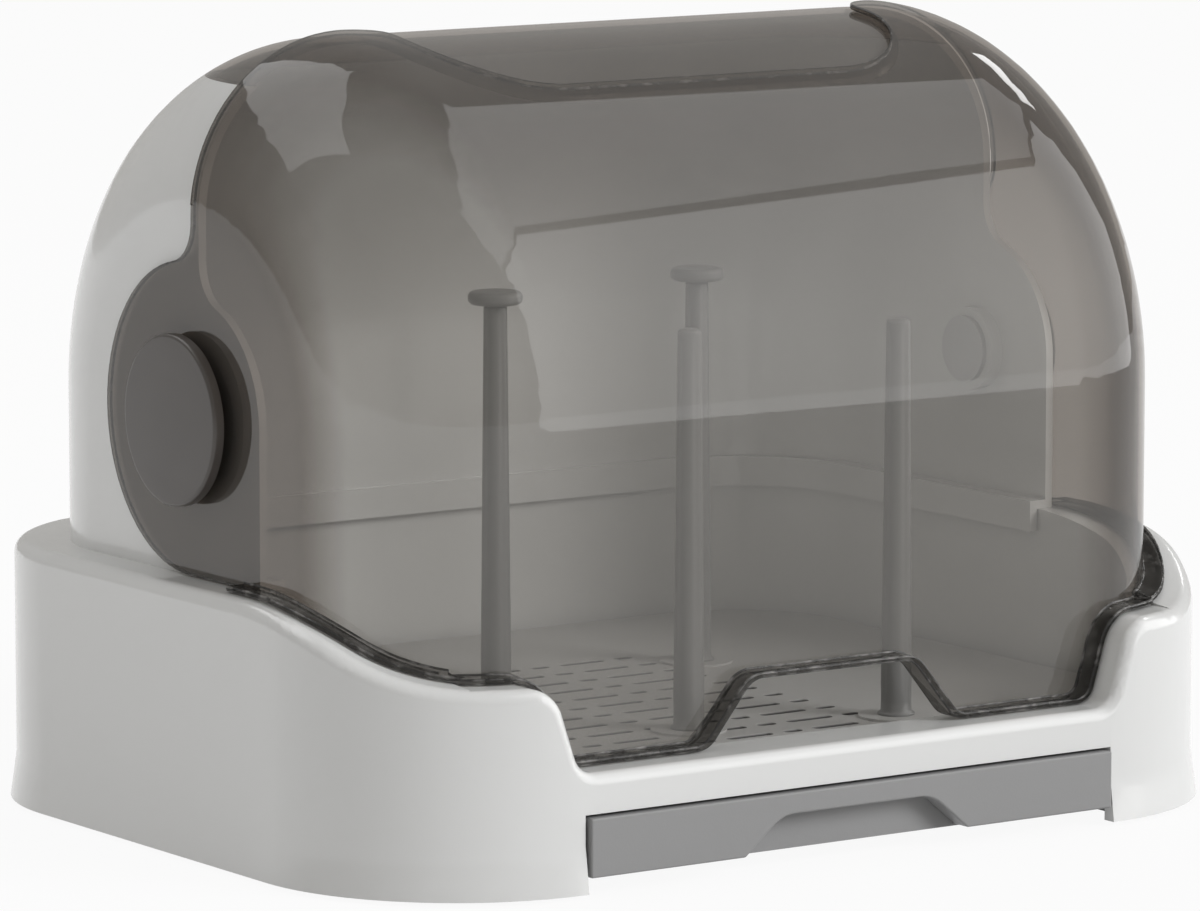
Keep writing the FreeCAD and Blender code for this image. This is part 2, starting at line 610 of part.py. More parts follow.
def outer_rim_edges(shape, lowest):
    """Edges on the tub's outside wall that start between the lowest height and the rounding."""
    half_width = size["base_width"] / 2 - size["skirt_out"]
    half_depth = size["base_depth"] / 2 - size["skirt_out"]
    corner = size["base_corner"] - size["skirt_out"]
    smooth = size["post_height"] - size["rim_round"]

    def on_wall(point):
        dx = max(abs(point.x) - (half_width - corner), 0.0)
        dy = max(abs(point.y) - (half_depth - corner), 0.0)
        return max(dx, dy) > 0 and abs(math.hypot(dx, dy) - corner) < 0.02

    found = []
    for index, edge in enumerate(shape.Edges, start=1):
        first, last = edge.ParameterRange
        points = [edge.valueAt(first + (last - first) * part) for part in (0.02, 0.3, 0.5, 0.7, 0.98)]
        flat = math.hypot(points[0].x - points[-1].x, points[0].y - points[-1].y)
        start = min(p.z for p in points)
        if start > lowest - 0.1 and abs(start - smooth) > 0.1 and flat > 0.05:
            if all(on_wall(p) for p in points):
                found.append(index)
    return found


# Floor plate, its screws and the foot pads

def make_floor():
    plate = inset_block("floor_plate", "(Sizes.skirt_out + Sizes.tub_wall + 0.4)",
                        "Sizes.pad_height", FLOOR_TOP)
    mouth = box("floor_mouth",
                ("-%s - Sizes.tub_wall - Sizes.deck_gap" % BAY_HALF, "-Sizes.base_depth / 2 - 1", "0"),
                (BAY_HALF + " + Sizes.tub_wall + Sizes.deck_gap",
                 "-Sizes.base_depth / 2 + Sizes.rim_inset + Sizes.deck_gap", "%s + 1" % FLOOR_TOP))
    guides = []
    for side in (-1, 1):
        inner = BAY_HALF
        outer = "(%s + Sizes.drawer_wall)" % BAY_HALF
        low_x = inner if side > 0 else "-" + outer
        high_x = outer if side > 0 else "-" + inner
        guides.append(box("floor_guide_" + ("left" if side < 0 else "right"),
                          (low_x, "-Sizes.base_depth / 2 + Sizes.rim_inset + Sizes.deck_gap",
                           "Sizes.pad_height"),
                          (high_x, "-Sizes.base_depth / 2 + " + DRAWER_LENGTH, "Sizes.bay_top - 4")))
    stop_front = "-Sizes.base_depth / 2 + %s + Sizes.stop_gap" % DRAWER_LENGTH
    stop = box("floor_stop",
               ("-" + BAY_HALF, stop_front, "Sizes.pad_height"),
               (BAY_HALF, stop_front + " + Sizes.drawer_wall", "Sizes.bay_top - 4"))
    open_plate = boolean("Cut", "floor_open", plate, mouth)
    whole = fuse("floor_with_guides", [open_plate] + guides + [stop])
    holes = []
    screws = []
    for side in (-1, 1):
        for row in (-1, 0, 1):
            tag = "%s%d" % ("left" if side < 0 else "right", row + 2)
            place = ("%d * %s" % (side, COLUMN_OUT), "%d * %s" % (row, COLUMN_APART))
            holes.append(rod("floor_hole_" + tag, "Sizes.screw_radius + 0.3",
                             "Sizes.floor_thick + 2", *place, "Sizes.pad_height - 1"))
            shank = rod("floor_screw_shank_" + tag, "Sizes.screw_radius", "Sizes.screw_length",
                        *place, "Sizes.pad_height")
            head = rod("floor_screw_head_" + tag, "Sizes.screw_head", "Sizes.screw_head_height",
                       *place, "Sizes.pad_height - Sizes.screw_head_height")
            screws.append(fuse("floor_screw_" + tag, [shank, head]))
    nodes["base_floor"] = boolean("Cut", "base_floor", whole, fuse("floor_holes", holes))
    group = doc.addObject("Part::Compound", "floor_screws")
    group.Links = screws
    nodes["floor_screws"] = group
    for across, side in (("left", -1), ("right", 1)):
        for along, end in (("front", -1), ("rear", 1)):
            name = "foot_pad_%s_%s" % (along, across)
            disc = rod(name + "_disc", "Sizes.pad_radius", "Sizes.pad_height",
                       "%d * (Sizes.base_width / 2 - Sizes.pad_inset)" % side,
                       "%d * (Sizes.base_depth / 2 - Sizes.pad_inset)" % end, "0")
            doc.recompute()
            soft = doc.addObject("Part::Chamfer", name)
            soft.Base = disc
            lower = [i for i, e in enumerate(disc.Shape.Edges, start=1)
                     if e.BoundBox.ZMax < 0.01 and len(e.Vertexes) == 1]
            soft.Edges = [(i, 0.8, 0.8) for i in lower]
            nodes[name] = soft


# Drip deck that leads the water into the drawer and carries the rack

def make_deck():
    body = new_body("drip_deck")
    plan = new_sketch(body, "deck_plan", "XY_Plane", "Sizes.deck_bottom")
    inset_loop(plan, "deck", "(Sizes.rim_inset + Sizes.deck_gap)")
    pad(body, "deck_plate", plan, "Sizes.deck_thick")
    step = new_sketch(body, "deck_step_plan", "XY_Plane", "Sizes.deck_bottom")
    inset_loop(step, "step_outer", "(Sizes.rim_inset + Sizes.deck_gap)")
    inset_loop(step, "step_inner", "(Sizes.rim_inset + Sizes.deck_gap + Sizes.deck_ledge)")
    pad(body, "deck_step_pad", step, "Sizes.deck_thick + Sizes.deck_step")
    legs = new_sketch(body, "deck_legs_plan", "XY_Plane", FLOOR_TOP)
    for side in (-1, 1):
        for row in (-1, 0, 1):
            x = side * number_of(LEG_OUT)
            y = row * number_of(LEG_APART)
            index = legs.addGeometry(Part.Circle(Vector(x, y, 0), Vector(0, 0, 1), size["leg_radius"]), False)
            name_size(legs, Sketcher.Constraint("Radius", index, size["leg_radius"]),
                      "leg_radius%d" % index, "Sizes.leg_radius")
            name_size(legs, Sketcher.Constraint("DistanceX", -1, 1, index, 3, x),
                      "leg_x%d" % index, "%d * %s" % (side, LEG_OUT))
            name_size(legs, Sketcher.Constraint("DistanceY", -1, 1, index, 3, y),
                      "leg_y%d" % index, "%d * %s" % (row, LEG_APART))
    pad(body, "deck_legs", legs, "Sizes.deck_bottom - %s + 1" % FLOOR_TOP)
    mouth = new_sketch(body, "deck_mouth_plan", "XY_Plane", DECK_TOP)
    mouth.setExpression("AttachmentOffset.Base.y", "(Sizes.deck_front - Sizes.deck_back) / 2")
    plan_loop(mouth, "mouth", "Sizes.base_width / 2 - Sizes.deck_side",
              "(Sizes.base_depth - Sizes.deck_front - Sizes.deck_back) / 2", "Sizes.deck_round")
    pocket(body, "deck_mouth", mouth, "Sizes.deck_thick + 1")
    nodes["drip_deck"] = body


# Drawer: a tray and its front panel with a finger notch

def make_drawer():
    tray = new_body("drawer_tray")
    half = "(%s - Sizes.drawer_gap)" % BAY_HALF
    front = "(-Sizes.base_depth / 2 + Sizes.front_thick)"
    length = "(%s - Sizes.front_thick)" % DRAWER_LENGTH
    height = "(Sizes.bay_top - Sizes.drawer_gap - %s)" % DRAWER_LOW
    outer = new_sketch(tray, "tray_plan", "XY_Plane", DRAWER_LOW)
    outer.setExpression("AttachmentOffset.Base.y", "%s + %s / 2" % (front, length))
    plan_loop(outer, "tray", half, length + " / 2", "Sizes.drawer_wall * 2")
    pad(tray, "tray_pad", outer, height)
    inner = new_sketch(tray, "tray_inside_plan", "XY_Plane", "Sizes.bay_top - Sizes.drawer_gap")
    inner.setExpression("AttachmentOffset.Base.y", "%s + %s / 2" % (front, length))
    plan_loop(inner, "inside", half + " - Sizes.drawer_wall", length + " / 2 - Sizes.drawer_wall",
              "Sizes.drawer_wall * 1.5")
    pocket(tray, "tray_inside", inner, height + " - Sizes.drawer_wall")
    nodes["drawer_tray"] = tray

    panel = new_body("drawer_front")
    face = new_sketch(panel, "front_face", "XZ_Plane", "Sizes.base_depth / 2 - Sizes.front_thick")
    w = number_of(half)
    low = number_of(DRAWER_LOW) + 0.6
    high = size["bay_top"] - size["drawer_gap"]
    head, foot, rise, bend = (size[k] for k in ("pull_head", "pull_half", "pull_height", "pull_round"))
    top = low + rise
    outline = [line(-w, low, -w, high), line(-w, high, w, high), line(w, high, w, low),
               line(w, low, foot, low), line(foot, low, head, top), line(head, top, -head, top),
               line(-head, top, -foot, low), line(-foot, low, -w, low)]
    face.addGeometry(outline, False)
    join(face, "Coincident", [(i, 2, (i + 1) % 8, 1) for i in range(8)])
    for flat in (1, 3, 5, 7):
        face.addConstraint(Sketcher.Constraint("Horizontal", flat))
    for upright in (0, 2):
        face.addConstraint(Sketcher.Constraint("Vertical", upright))
    name_size(face, Sketcher.Constraint("DistanceX", -1, 1, 2, 1, w), "right", half)
    name_size(face, Sketcher.Constraint("DistanceX", 0, 1, -1, 1, w), "left", half)
    name_size(face, Sketcher.Constraint("DistanceY", -1, 1, 1, 1, high), "top", "Sizes.bay_top - Sizes.drawer_gap")
    name_size(face, Sketcher.Constraint("DistanceY", -1, 1, 3, 1, low), "bottom", DRAWER_LOW + " + 0.6")
    name_size(face, Sketcher.Constraint("DistanceY", -1, 1, 7, 1, low), "bottom_left", DRAWER_LOW + " + 0.6")
    name_size(face, Sketcher.Constraint("DistanceY", 3, 2, 4, 2, rise), "rise", "Sizes.pull_height")
    name_size(face, Sketcher.Constraint("DistanceX", -1, 1, 4, 1, foot), "foot_right", "Sizes.pull_half")
    name_size(face, Sketcher.Constraint("DistanceX", 6, 2, -1, 1, foot), "foot_left", "Sizes.pull_half")
    name_size(face, Sketcher.Constraint("DistanceX", -1, 1, 5, 1, head), "head_right", "Sizes.pull_head")
    name_size(face, Sketcher.Constraint("DistanceX", 6, 1, -1, 1, head), "head_left", "Sizes.pull_head")
    slab = pad(panel, "front_pad", face, "Sizes.front_thick")
    doc.recompute()
    solid = slab.Shape
    upper = ["Edge%d" % i for i, e in enumerate(solid.Edges, start=1)
             if abs(e.BoundBox.ZMin - top) < 0.01 and abs(e.BoundBox.ZMax - top) < 0.01
             and e.BoundBox.YLength > size["front_thick"] - 0.01]
    rounding = panel.newObject("PartDesign::Fillet", "pull_rounding")
    rounding.Base = (slab, upper)
    bind(rounding, Radius="Sizes.pull_round")
    nodes["drawer_front"] = panel


# Rack with drain slots, peg bosses and a stiffening rim

def slot_shape(sketch, label, middle_x, length):
    """One slot along the width; its middle and length are expressions."""
    x, span, wide = number_of(middle_x), number_of(length), size["slot_width"]
    r = wide / 2
    start, end = x - span / 2 + r, x + span / 2 - r
    first = sketch.GeometryCount
    sketch.addGeometry([line(start, -r, end, -r), arc(end, 0, r, -90, 90),
                        line(end, r, start, r), arc(start, 0, r, 90, 270)], False)
    join(sketch, "Tangent", [(first, 2, first + 1, 1), (first + 1, 2, first + 2, 1),
                             (first + 2, 2, first + 3, 1), (first + 3, 2, first, 1)])
    sketch.addConstraint(Sketcher.Constraint("Horizontal", first))
    sketch.addConstraint(Sketcher.Constraint("PointOnObject", first + 1, 3, -1))
    name_size(sketch, Sketcher.Constraint("Radius", first + 1, r), label + "_end", "Sizes.slot_width / 2")
    name_size(sketch, Sketcher.Constraint("DistanceX", -1, 1, first + 1, 3, end), label + "_right",
              "%s + %s / 2 - Sizes.slot_width / 2" % (middle_x, length))
    name_size(sketch, Sketcher.Constraint("DistanceX", -1, 1, first + 3, 3, start), label + "_left",
              "%s - %s / 2 + Sizes.slot_width / 2" % (middle_x, length))


def peg_circle(sketch, peg, radius):
    """A circle about a peg's axis; the radius is an expression."""
    name, x, back, knob = peg
    place = "%r - Sizes.base_depth / 2" % back
    r, y = number_of(radius), number_of(place)
    index = sketch.addGeometry(Part.Circle(Vector(x, y, 0), Vector(0, 0, 1), r), False)
    name_size(sketch, Sketcher.Constraint("Radius", index, r), "radius%d" % index, radius)
    name_size(sketch, Sketcher.Constraint("DistanceY", -1, 1, index, 3, y), "back%d" % index, place)
    sketch.addConstraint(Sketcher.Constraint("DistanceX", -1, 1, index, 3, x))


def make_rack():
    body = new_body("drain_rack")
    plan = new_sketch(body, "rack_plan", "XY_Plane", RACK_LOW)
    inset_loop(plan, "plate", "(Sizes.rim_inset + Sizes.rack_gap)")
    pad(body, "rack_plate", plan, "Sizes.rack_thick")
    rib = new_sketch(body, "rack_rib_plan", "XY_Plane", RACK_LOW + " - Sizes.rack_rib")
    rib_inset = "(Sizes.rim_inset + Sizes.rack_gap + Sizes.rack_rib_inset)"
    inset_loop(rib, "rib_outer", rib_inset)
    inset_loop(rib, "rib_inner", "(%s + Sizes.rack_rib_wall)" % rib_inset)
    pad(body, "rack_rib", rib, "Sizes.rack_rib + Sizes.rack_thick / 2")
    slots = new_sketch(body, "rack_slots_plan", "XY_Plane", RACK_TOP)
    slots.setExpression("AttachmentOffset.Base.y", "Sizes.slot_front - Sizes.base_depth / 2")
    slot_shape(slots, "long", "-Sizes.slot_left", "Sizes.slot_long")
    slot_shape(slots, "short", "(-Sizes.slot_left + Sizes.slot_pitch_x / 2)", "Sizes.slot_short")
    cut = pocket(body, "rack_slot_pair", slots, "Sizes.rack_thick + 1")
    doc.recompute()
    field = body.newObject("PartDesign::LinearPattern", "rack_slot_field")
    field.Originals = [cut]
    field.Direction = (slots, ["H_Axis"])
    field.Direction2 = (slots, ["V_Axis"])
    field.Mode = "Spacing"
    field.Mode2 = "Spacing"
    bind(field, Offset="Sizes.slot_pitch_x", Offset2="Sizes.slot_pitch_y")
    field.Occurrences = 4
    field.Occurrences2 = 12
    body.Tip = field
    bosses = new_sketch(body, "rack_bosses_plan", "XY_Plane", RACK_LOW)
    for peg in PEGS:
        peg_circle(bosses, peg, "Sizes.boss_radius")
        peg_circle(bosses, peg, "(Sizes.spigot_radius + Sizes.spigot_gap)")
    pad(body, "rack_bosses", bosses, "Sizes.rack_thick + Sizes.boss_height")
    sockets = new_sketch(body, "rack_sockets_plan", "XY_Plane", BOSS_TOP)
    for peg in PEGS:
        peg_circle(sockets, peg, "(Sizes.spigot_radius + Sizes.spigot_gap)")
    pocket(body, "rack_sockets", sockets, "Sizes.rack_thick + Sizes.boss_height + 1")
    nodes["drain_rack"] = body


# Pegs: turned profile with a spigot, a collar, a tapered stem and a round tip

def make_peg(name, x, back, knob):
    body = new_body("peg_" + name)
    sketch = new_sketch(body, "peg_profile_" + name, "XZ_Plane")
    spigot = number_of("Sizes.rack_thick + Sizes.boss_height - 0.2")
    foot, head, collar = size["peg_foot"], size["peg_head"], size["peg_collar"]
    step, top, pin = size["peg_collar_height"], size["peg_height"], size["spigot_radius"]
    tip = 1.2
    points = [(0, -spigot), (pin, -spigot), (pin, 0), (collar, 0), (collar, step), (foot, step),
              (head, top - tip), (head - tip, top), (0, top)]
    count = len(points)
    sketch.addGeometry([line(*points[i], *points[(i + 1) % count]) for i in range(count)], False)
    join(sketch, "Coincident", [(i, 2, (i + 1) % count, 1) for i in range(count)])
    for flat in (0, 2, 4, 7):
        sketch.addConstraint(Sketcher.Constraint("Horizontal", flat))
    for upright in (1, 3, 8):
        sketch.addConstraint(Sketcher.Constraint("Vertical", upright))
    sketch.addConstraint(Sketcher.Constraint("PointOnObject", 8, 1, -2))
    sketch.addConstraint(Sketcher.Constraint("PointOnObject", 2, 1, -1))
    name_size(sketch, Sketcher.Constraint("DistanceY", 1, 1, 1, 2, spigot), "spigot",
              "Sizes.rack_thick + Sizes.boss_height - 0.2")
    name_size(sketch, Sketcher.Constraint("DistanceX", -1, 1, 1, 1, pin), "pin", "Sizes.spigot_radius")
    name_size(sketch, Sketcher.Constraint("DistanceX", -1, 1, 3, 1, collar), "collar", "Sizes.peg_collar")
    name_size(sketch, Sketcher.Constraint("DistanceY", -1, 1, 3, 2, step), "step", "Sizes.peg_collar_height")
    name_size(sketch, Sketcher.Constraint("DistanceX", -1, 1, 5, 1, foot), "foot", "Sizes.peg_foot")
    name_size(sketch, Sketcher.Constraint("DistanceX", -1, 1, 5, 2, head), "head", "Sizes.peg_head")
    name_size(sketch, Sketcher.Constraint("DistanceY", 5, 2, 6, 2, tip), "tip_height", "1.2")
    name_size(sketch, Sketcher.Constraint("DistanceX", 6, 2, 6, 1, tip), "tip_width", "1.2")
    name_size(sketch, Sketcher.Constraint("DistanceY", -1, 1, 7, 1, top), "height", "Sizes.peg_height")
    turn = body.newObject("PartDesign::Revolution", "peg_turn_" + name)
    turn.Profile = sketch
    turn.ReferenceAxis = (sketch, ["V_Axis"])
    turn.Angle = 360
    place = "%r - Sizes.base_depth / 2" % back
    body.Placement.Base = Vector(x, number_of(place), 0)
    body.setExpression("Placement.Base.y", place)
    body.setExpression("Placement.Base.z", BOSS_TOP)
    nodes["peg_" + name] = body
    if knob:
        make_knob(name, repr(x), place)


def make_knob(name, x, y):
    """A flat mushroom head glued on top of a rear peg."""
    low = "(%s + Sizes.peg_height)" % BOSS_TOP
    head = rod("knob_disc_" + name, "Sizes.knob_radius", "Sizes.knob_height", x, y, low)
    doc.recompute()
    soft = doc.addObject("Part::Fillet", "peg_head_" + name)
    soft.Base = head
    bend = size["knob_height"] * 0.42
    soft.Edges = [(i, bend, bend) for i, e in enumerate(head.Shape.Edges, start=1) if len(e.Vertexes) == 1]
    nodes["peg_head_" + name] = soft


# Rear shell, its foot and hinge bosses, and the smoked top cap

def hinge_rod(name, radius, start, length, side):
    """A rod on the hinge axis from start outwards, on one side of the cabinet."""
    x = start if side > 0 else "-(%s) - (%s)" % (start, length)
    return rod(name, radius, length, x, "0", "Sizes.hinge_height", axis="x")


def make_shell():
    outer = dome("shell_outside", SHELL_HALF, SHELL_RADIUS, SHELL_CORNER, "Sizes.rim_height")
    inner = dome("shell_inside", SHELL_HALF + " - Sizes.shell_wall", SHELL_RADIUS + " - Sizes.shell_wall",
                 SHELL_CORNER + " - Sizes.shell_wall", "Sizes.rim_height - 1")
    side = stored("shell_side", shell_side_space())
    skin = boolean("Cut", "shell_skin", outer, inner)
    skin = boolean("Common", "shell_rear", skin, side)
    foot = new_body("shell_foot")
    ring = new_sketch(foot, "shell_foot_plan", "XY_Plane", "Sizes.rim_height")
    plan_loop(ring, "outer", SHELL_HALF, SHELL_RADIUS, SHELL_CORNER)
    inset_loop(ring, "inner", "(Sizes.rim_inset + Sizes.lip_gap + Sizes.lip_wall)")
    pad(foot, "shell_foot_pad", ring, "Sizes.foot_thick")
    lip = new_sketch(foot, "shell_lip_plan", "XY_Plane", "Sizes.rim_height - Sizes.lip_depth")
    inset_loop(lip, "outer", "(Sizes.rim_inset + Sizes.lip_gap)")
    inset_loop(lip, "inner", "(Sizes.rim_inset + Sizes.lip_gap + Sizes.lip_wall)")
    pad(foot, "shell_lip_pad", lip, "Sizes.lip_depth + Sizes.foot_thick")
    rear = box("shell_foot_rear", ("-Sizes.base_width", "-Sizes.shell_round", "0"),
               ("Sizes.base_width", "Sizes.base_depth", "Sizes.hinge_height"))
    foot_rear = boolean("Common", "shell_foot_half", foot, rear)
    hubs, bores = [], []
    for tag, way in (("left", -1), ("right", 1)):
        start = SHELL_HALF + " - Sizes.shell_wall - Sizes.hub_depth"
        hubs.append(hinge_rod("shell_hub_" + tag, "Sizes.hub_radius", start,
                              "Sizes.hub_depth + Sizes.shell_wall / 2", way))
        bores.append(hinge_rod("shell_bore_" + tag, "Sizes.shaft_radius", start + " - 1",
                               "Sizes.hub_depth + Sizes.shell_wall + 2", way))
    whole = fuse("shell_whole", [skin, foot_rear] + hubs)
    nodes["back_shell"] = boolean("Cut", "back_shell", whole, fuse("shell_bores", bores))


def make_cap():
    outer = dome("cap_outside", SHELL_HALF, SHELL_RADIUS, SHELL_CORNER, "Sizes.rim_height")
    inner = dome("cap_inside", SHELL_HALF + " - Sizes.cap_wall", SHELL_RADIUS + " - Sizes.cap_wall",
                 SHELL_CORNER + " - Sizes.cap_wall", "Sizes.rim_height - 1")
    skin = boolean("Cut", "cap_skin", outer, inner)
    rear = Part.makeBox(2 * FAR, FAR, FAR, Vector(-FAR, size["shell_front"], number_of(CAP_LINE)))
    tongue = scoop_space(size["cap_side"], size["cap_lap"], size["shell_front"] + 1, 0)
    place = stored("cap_place", rear.fuse(tongue))
    nodes["top_cap"] = boolean("Common", "top_cap", skin, place)


# Lid: a smoked shell with a flange along its lower edge, ears at the hinge and a scoop on top

def make_lid():
    low = "Sizes.sill_height / 2"
    outer = dome("lid_outside", LID_HALF, LID_RADIUS, "Sizes.lid_corner", low)
    inner = dome("lid_inside", LID_HALF + " - Sizes.lid_wall", LID_RADIUS + " - Sizes.lid_wall",
                 "Sizes.lid_corner - Sizes.lid_wall", low + " - 1")
    skin = boolean("Cut", "lid_skin", outer, inner)
    side = lid_side_space()
    scoop = scoop_space(0, 0, size["base_depth"] / 2, size["scoop_flare"])
    room = lid_space(0)
    place = stored("lid_place", room.common(side).cut(scoop))
    skin = boolean("Common", "lid_cut_skin", skin, place)
    wide = new_body("lid_flange_block")
    plan = new_sketch(wide, "lid_flange_plan", "XY_Plane", low)
    plan_loop(plan, "flange_outer", LID_HALF + " + Sizes.flange_out", LID_RADIUS + " + Sizes.flange_out",
              "Sizes.lid_corner + Sizes.flange_out")
    plan_loop(plan, "flange_inner", LID_HALF + " - Sizes.lid_wall", LID_RADIUS + " - Sizes.lid_wall",
              "Sizes.lid_corner - Sizes.lid_wall")
    pad(wide, "lid_flange_pad", plan, "Sizes.hinge_height - (%s)" % low)
    front = Part.makeBox(2 * FAR, FAR, 2 * FAR, Vector(-FAR, -FAR - size["flange_start"], -FAR))
    band = room.cut(lid_space(size["flange_thick"])).common(front)
    flange = boolean("Common", "lid_flange", wide, stored("lid_flange_place", band))
    bores = []
    for tag, way in (("left", -1), ("right", 1)):
        bores.append(hinge_rod("lid_bore_" + tag, "Sizes.shaft_radius + Sizes.shaft_gap",
                               LID_HALF + " - Sizes.lid_wall - 1", "Sizes.lid_wall + 2", way))
    whole = fuse("lid_whole", [skin, flange])
    nodes["lid"] = boolean("Cut", "lid", whole, fuse("lid_bores", bores))


# Hinges: shaft, disc, washer and screw on each side

def make_hinges():
    for tag, way in (("left", -1), ("right", 1)):
        inside = SHELL_HALF + " - Sizes.shell_wall - Sizes.hub_depth"
        disc_start = LID_HALF + " + Sizes.disc_gap"
        shaft_end = disc_start + " + Sizes.disc_socket"
        shaft = hinge_rod("shaft_blank_" + tag, "Sizes.shaft_radius", inside,
                          "%s - (%s)" % (shaft_end, inside), way)
        pilot = hinge_rod("shaft_pilot_" + tag, "Sizes.screw_radius", inside + " - 1",
                          "Sizes.screw_length - Sizes.screw_head_height", way)
        nodes["hinge_shaft_" + tag] = boolean("Cut", "hinge_shaft_" + tag, shaft, pilot)
        plate_start = disc_start + " + Sizes.disc_stand"
        plate = hinge_rod("disc_plate_" + tag, "Sizes.disc_radius", plate_start, "Sizes.disc_thick", way)
        hub = hinge_rod("disc_hub_" + tag, "Sizes.disc_hub", disc_start,
                        "Sizes.disc_stand + Sizes.disc_thick / 2", way)
        blank = fuse("disc_blank_" + tag, [plate, hub])
        socket = hinge_rod("disc_socket_" + tag, "Sizes.shaft_radius + Sizes.spigot_gap", disc_start + " - 1",
                           "Sizes.disc_socket + 1", way)
        hollow = boolean("Cut", "disc_hollow_" + tag, blank, socket)
        doc.recompute()
        disc = doc.addObject("Part::Fillet", "hinge_disc_" + tag)
        disc.Base = hollow
        edge_x = way * number_of(plate_start + " + Sizes.disc_thick")
        disc.Edges = [(i, size["disc_round"], size["disc_round"])
                      for i, e in enumerate(hollow.Shape.Edges, start=1)
                      if len(e.Vertexes) == 1 and abs(e.BoundBox.Center.x - edge_x) < 0.01
                      and e.BoundBox.ZLength > 2 * size["shaft_radius"] + 1]
        nodes["hinge_disc_" + tag] = disc
        gap = "(Sizes.lid_gap - Sizes.washer_thick) / 2"
        ring = hinge_rod("washer_blank_" + tag, "Sizes.washer_radius", SHELL_HALF + " + " + gap,
                         "Sizes.washer_thick", way)
        hole = hinge_rod("washer_hole_" + tag, "Sizes.shaft_radius + Sizes.shaft_gap", SHELL_HALF + " - 1",
                         "Sizes.washer_thick + 3", way)
        nodes["hinge_washer_" + tag] = boolean("Cut", "hinge_washer_" + tag, ring, hole)
        shank = hinge_rod("hinge_screw_shank_" + tag, "Sizes.screw_radius - 0.05", inside,
                          "Sizes.screw_length - Sizes.screw_head_height - 2", way)
        head = hinge_rod("hinge_screw_head_" + tag, "Sizes.shaft_radius + 2",
                         inside + " - Sizes.screw_head_height", "Sizes.screw_head_height", way)
        nodes["hinge_screw_" + tag] = fuse("hinge_screw_" + tag, [shank, head])


make_tub()
make_floor()
make_deck()
make_drawer()
make_rack()
for peg in PEGS:
    make_peg(*peg)
make_shell()
make_cap()
make_lid()
make_hinges()
doc.recompute()

faults = [thing.Name for thing in doc.Objects if "Invalid" in thing.State or "Error" in thing.State]
if faults:
    raise RuntimeError("these objects failed: " + ", ".join(faults))
for name, thing in nodes.items():
    thing.Label = name
    shape = thing.Shape
    if shape.isNull() or not shape.isValid() or not shape.Solids:
        raise RuntimeError("this piece has no valid solid: " + name)

os.makedirs("parts", exist_ok=True)
for name, thing in nodes.items():
    thing.Shape.exportStep("parts/%s.step" % name)
    bounds = thing.Shape.BoundBox
    print("%-20s solids %d  volume %9.0f  x %7.1f %7.1f  y %7.1f %7.1f  z %6.1f %6.1f" % (
        name, len(thing.Shape.Solids), thing.Shape.Volume, bounds.XMin, bounds.XMax,
        bounds.YMin, bounds.YMax, bounds.ZMin, bounds.ZMax))
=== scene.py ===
"""Looks of a countertop drying rack with a smoked lid: finishes, edges, pegs and studio."""

import math

import bmesh
import bpy
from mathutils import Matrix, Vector
from mathutils.bvhtree import BVHTree


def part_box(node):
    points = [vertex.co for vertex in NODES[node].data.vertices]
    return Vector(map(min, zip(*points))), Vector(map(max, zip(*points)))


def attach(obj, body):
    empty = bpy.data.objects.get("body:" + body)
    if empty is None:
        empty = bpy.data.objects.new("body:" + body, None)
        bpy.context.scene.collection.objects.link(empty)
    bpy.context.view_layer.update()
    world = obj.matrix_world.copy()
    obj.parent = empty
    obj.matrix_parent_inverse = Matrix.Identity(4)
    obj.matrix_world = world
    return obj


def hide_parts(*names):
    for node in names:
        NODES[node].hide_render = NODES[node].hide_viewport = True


bl_info = {
    "name": "Drying Rack Looks",
    "version": (1, 0, 0),
    "blender": (4, 5, 0),
    "location": "3D View > Sidebar > Drying Rack",
    "description": "Finishes, soft edges and small pieces for a drying rack with a smoked lid",
    "category": "Object",
}

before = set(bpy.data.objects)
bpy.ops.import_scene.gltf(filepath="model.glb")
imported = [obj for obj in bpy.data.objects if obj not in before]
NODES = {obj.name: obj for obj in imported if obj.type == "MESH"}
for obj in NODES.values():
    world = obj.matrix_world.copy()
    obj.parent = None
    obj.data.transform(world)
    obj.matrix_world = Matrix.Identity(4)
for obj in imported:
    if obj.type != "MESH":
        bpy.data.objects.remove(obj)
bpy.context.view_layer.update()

FINISHES = {}


# Settings that a user would change


def colour_setting(name, description, default):
    return bpy.props.FloatVectorProperty(
        name=name, description=description, default=default,
        subtype="COLOR", size=3, min=0.0, max=1.0,
    )


def length_setting(name, description, default):
    return bpy.props.FloatProperty(
        name=name, description=description, default=default, min=0.0, precision=5,
        subtype="DISTANCE", unit="LENGTH",
    )


def power_setting(name, description, default):
    return bpy.props.FloatProperty(name=name, description=description, default=default, min=0.0)


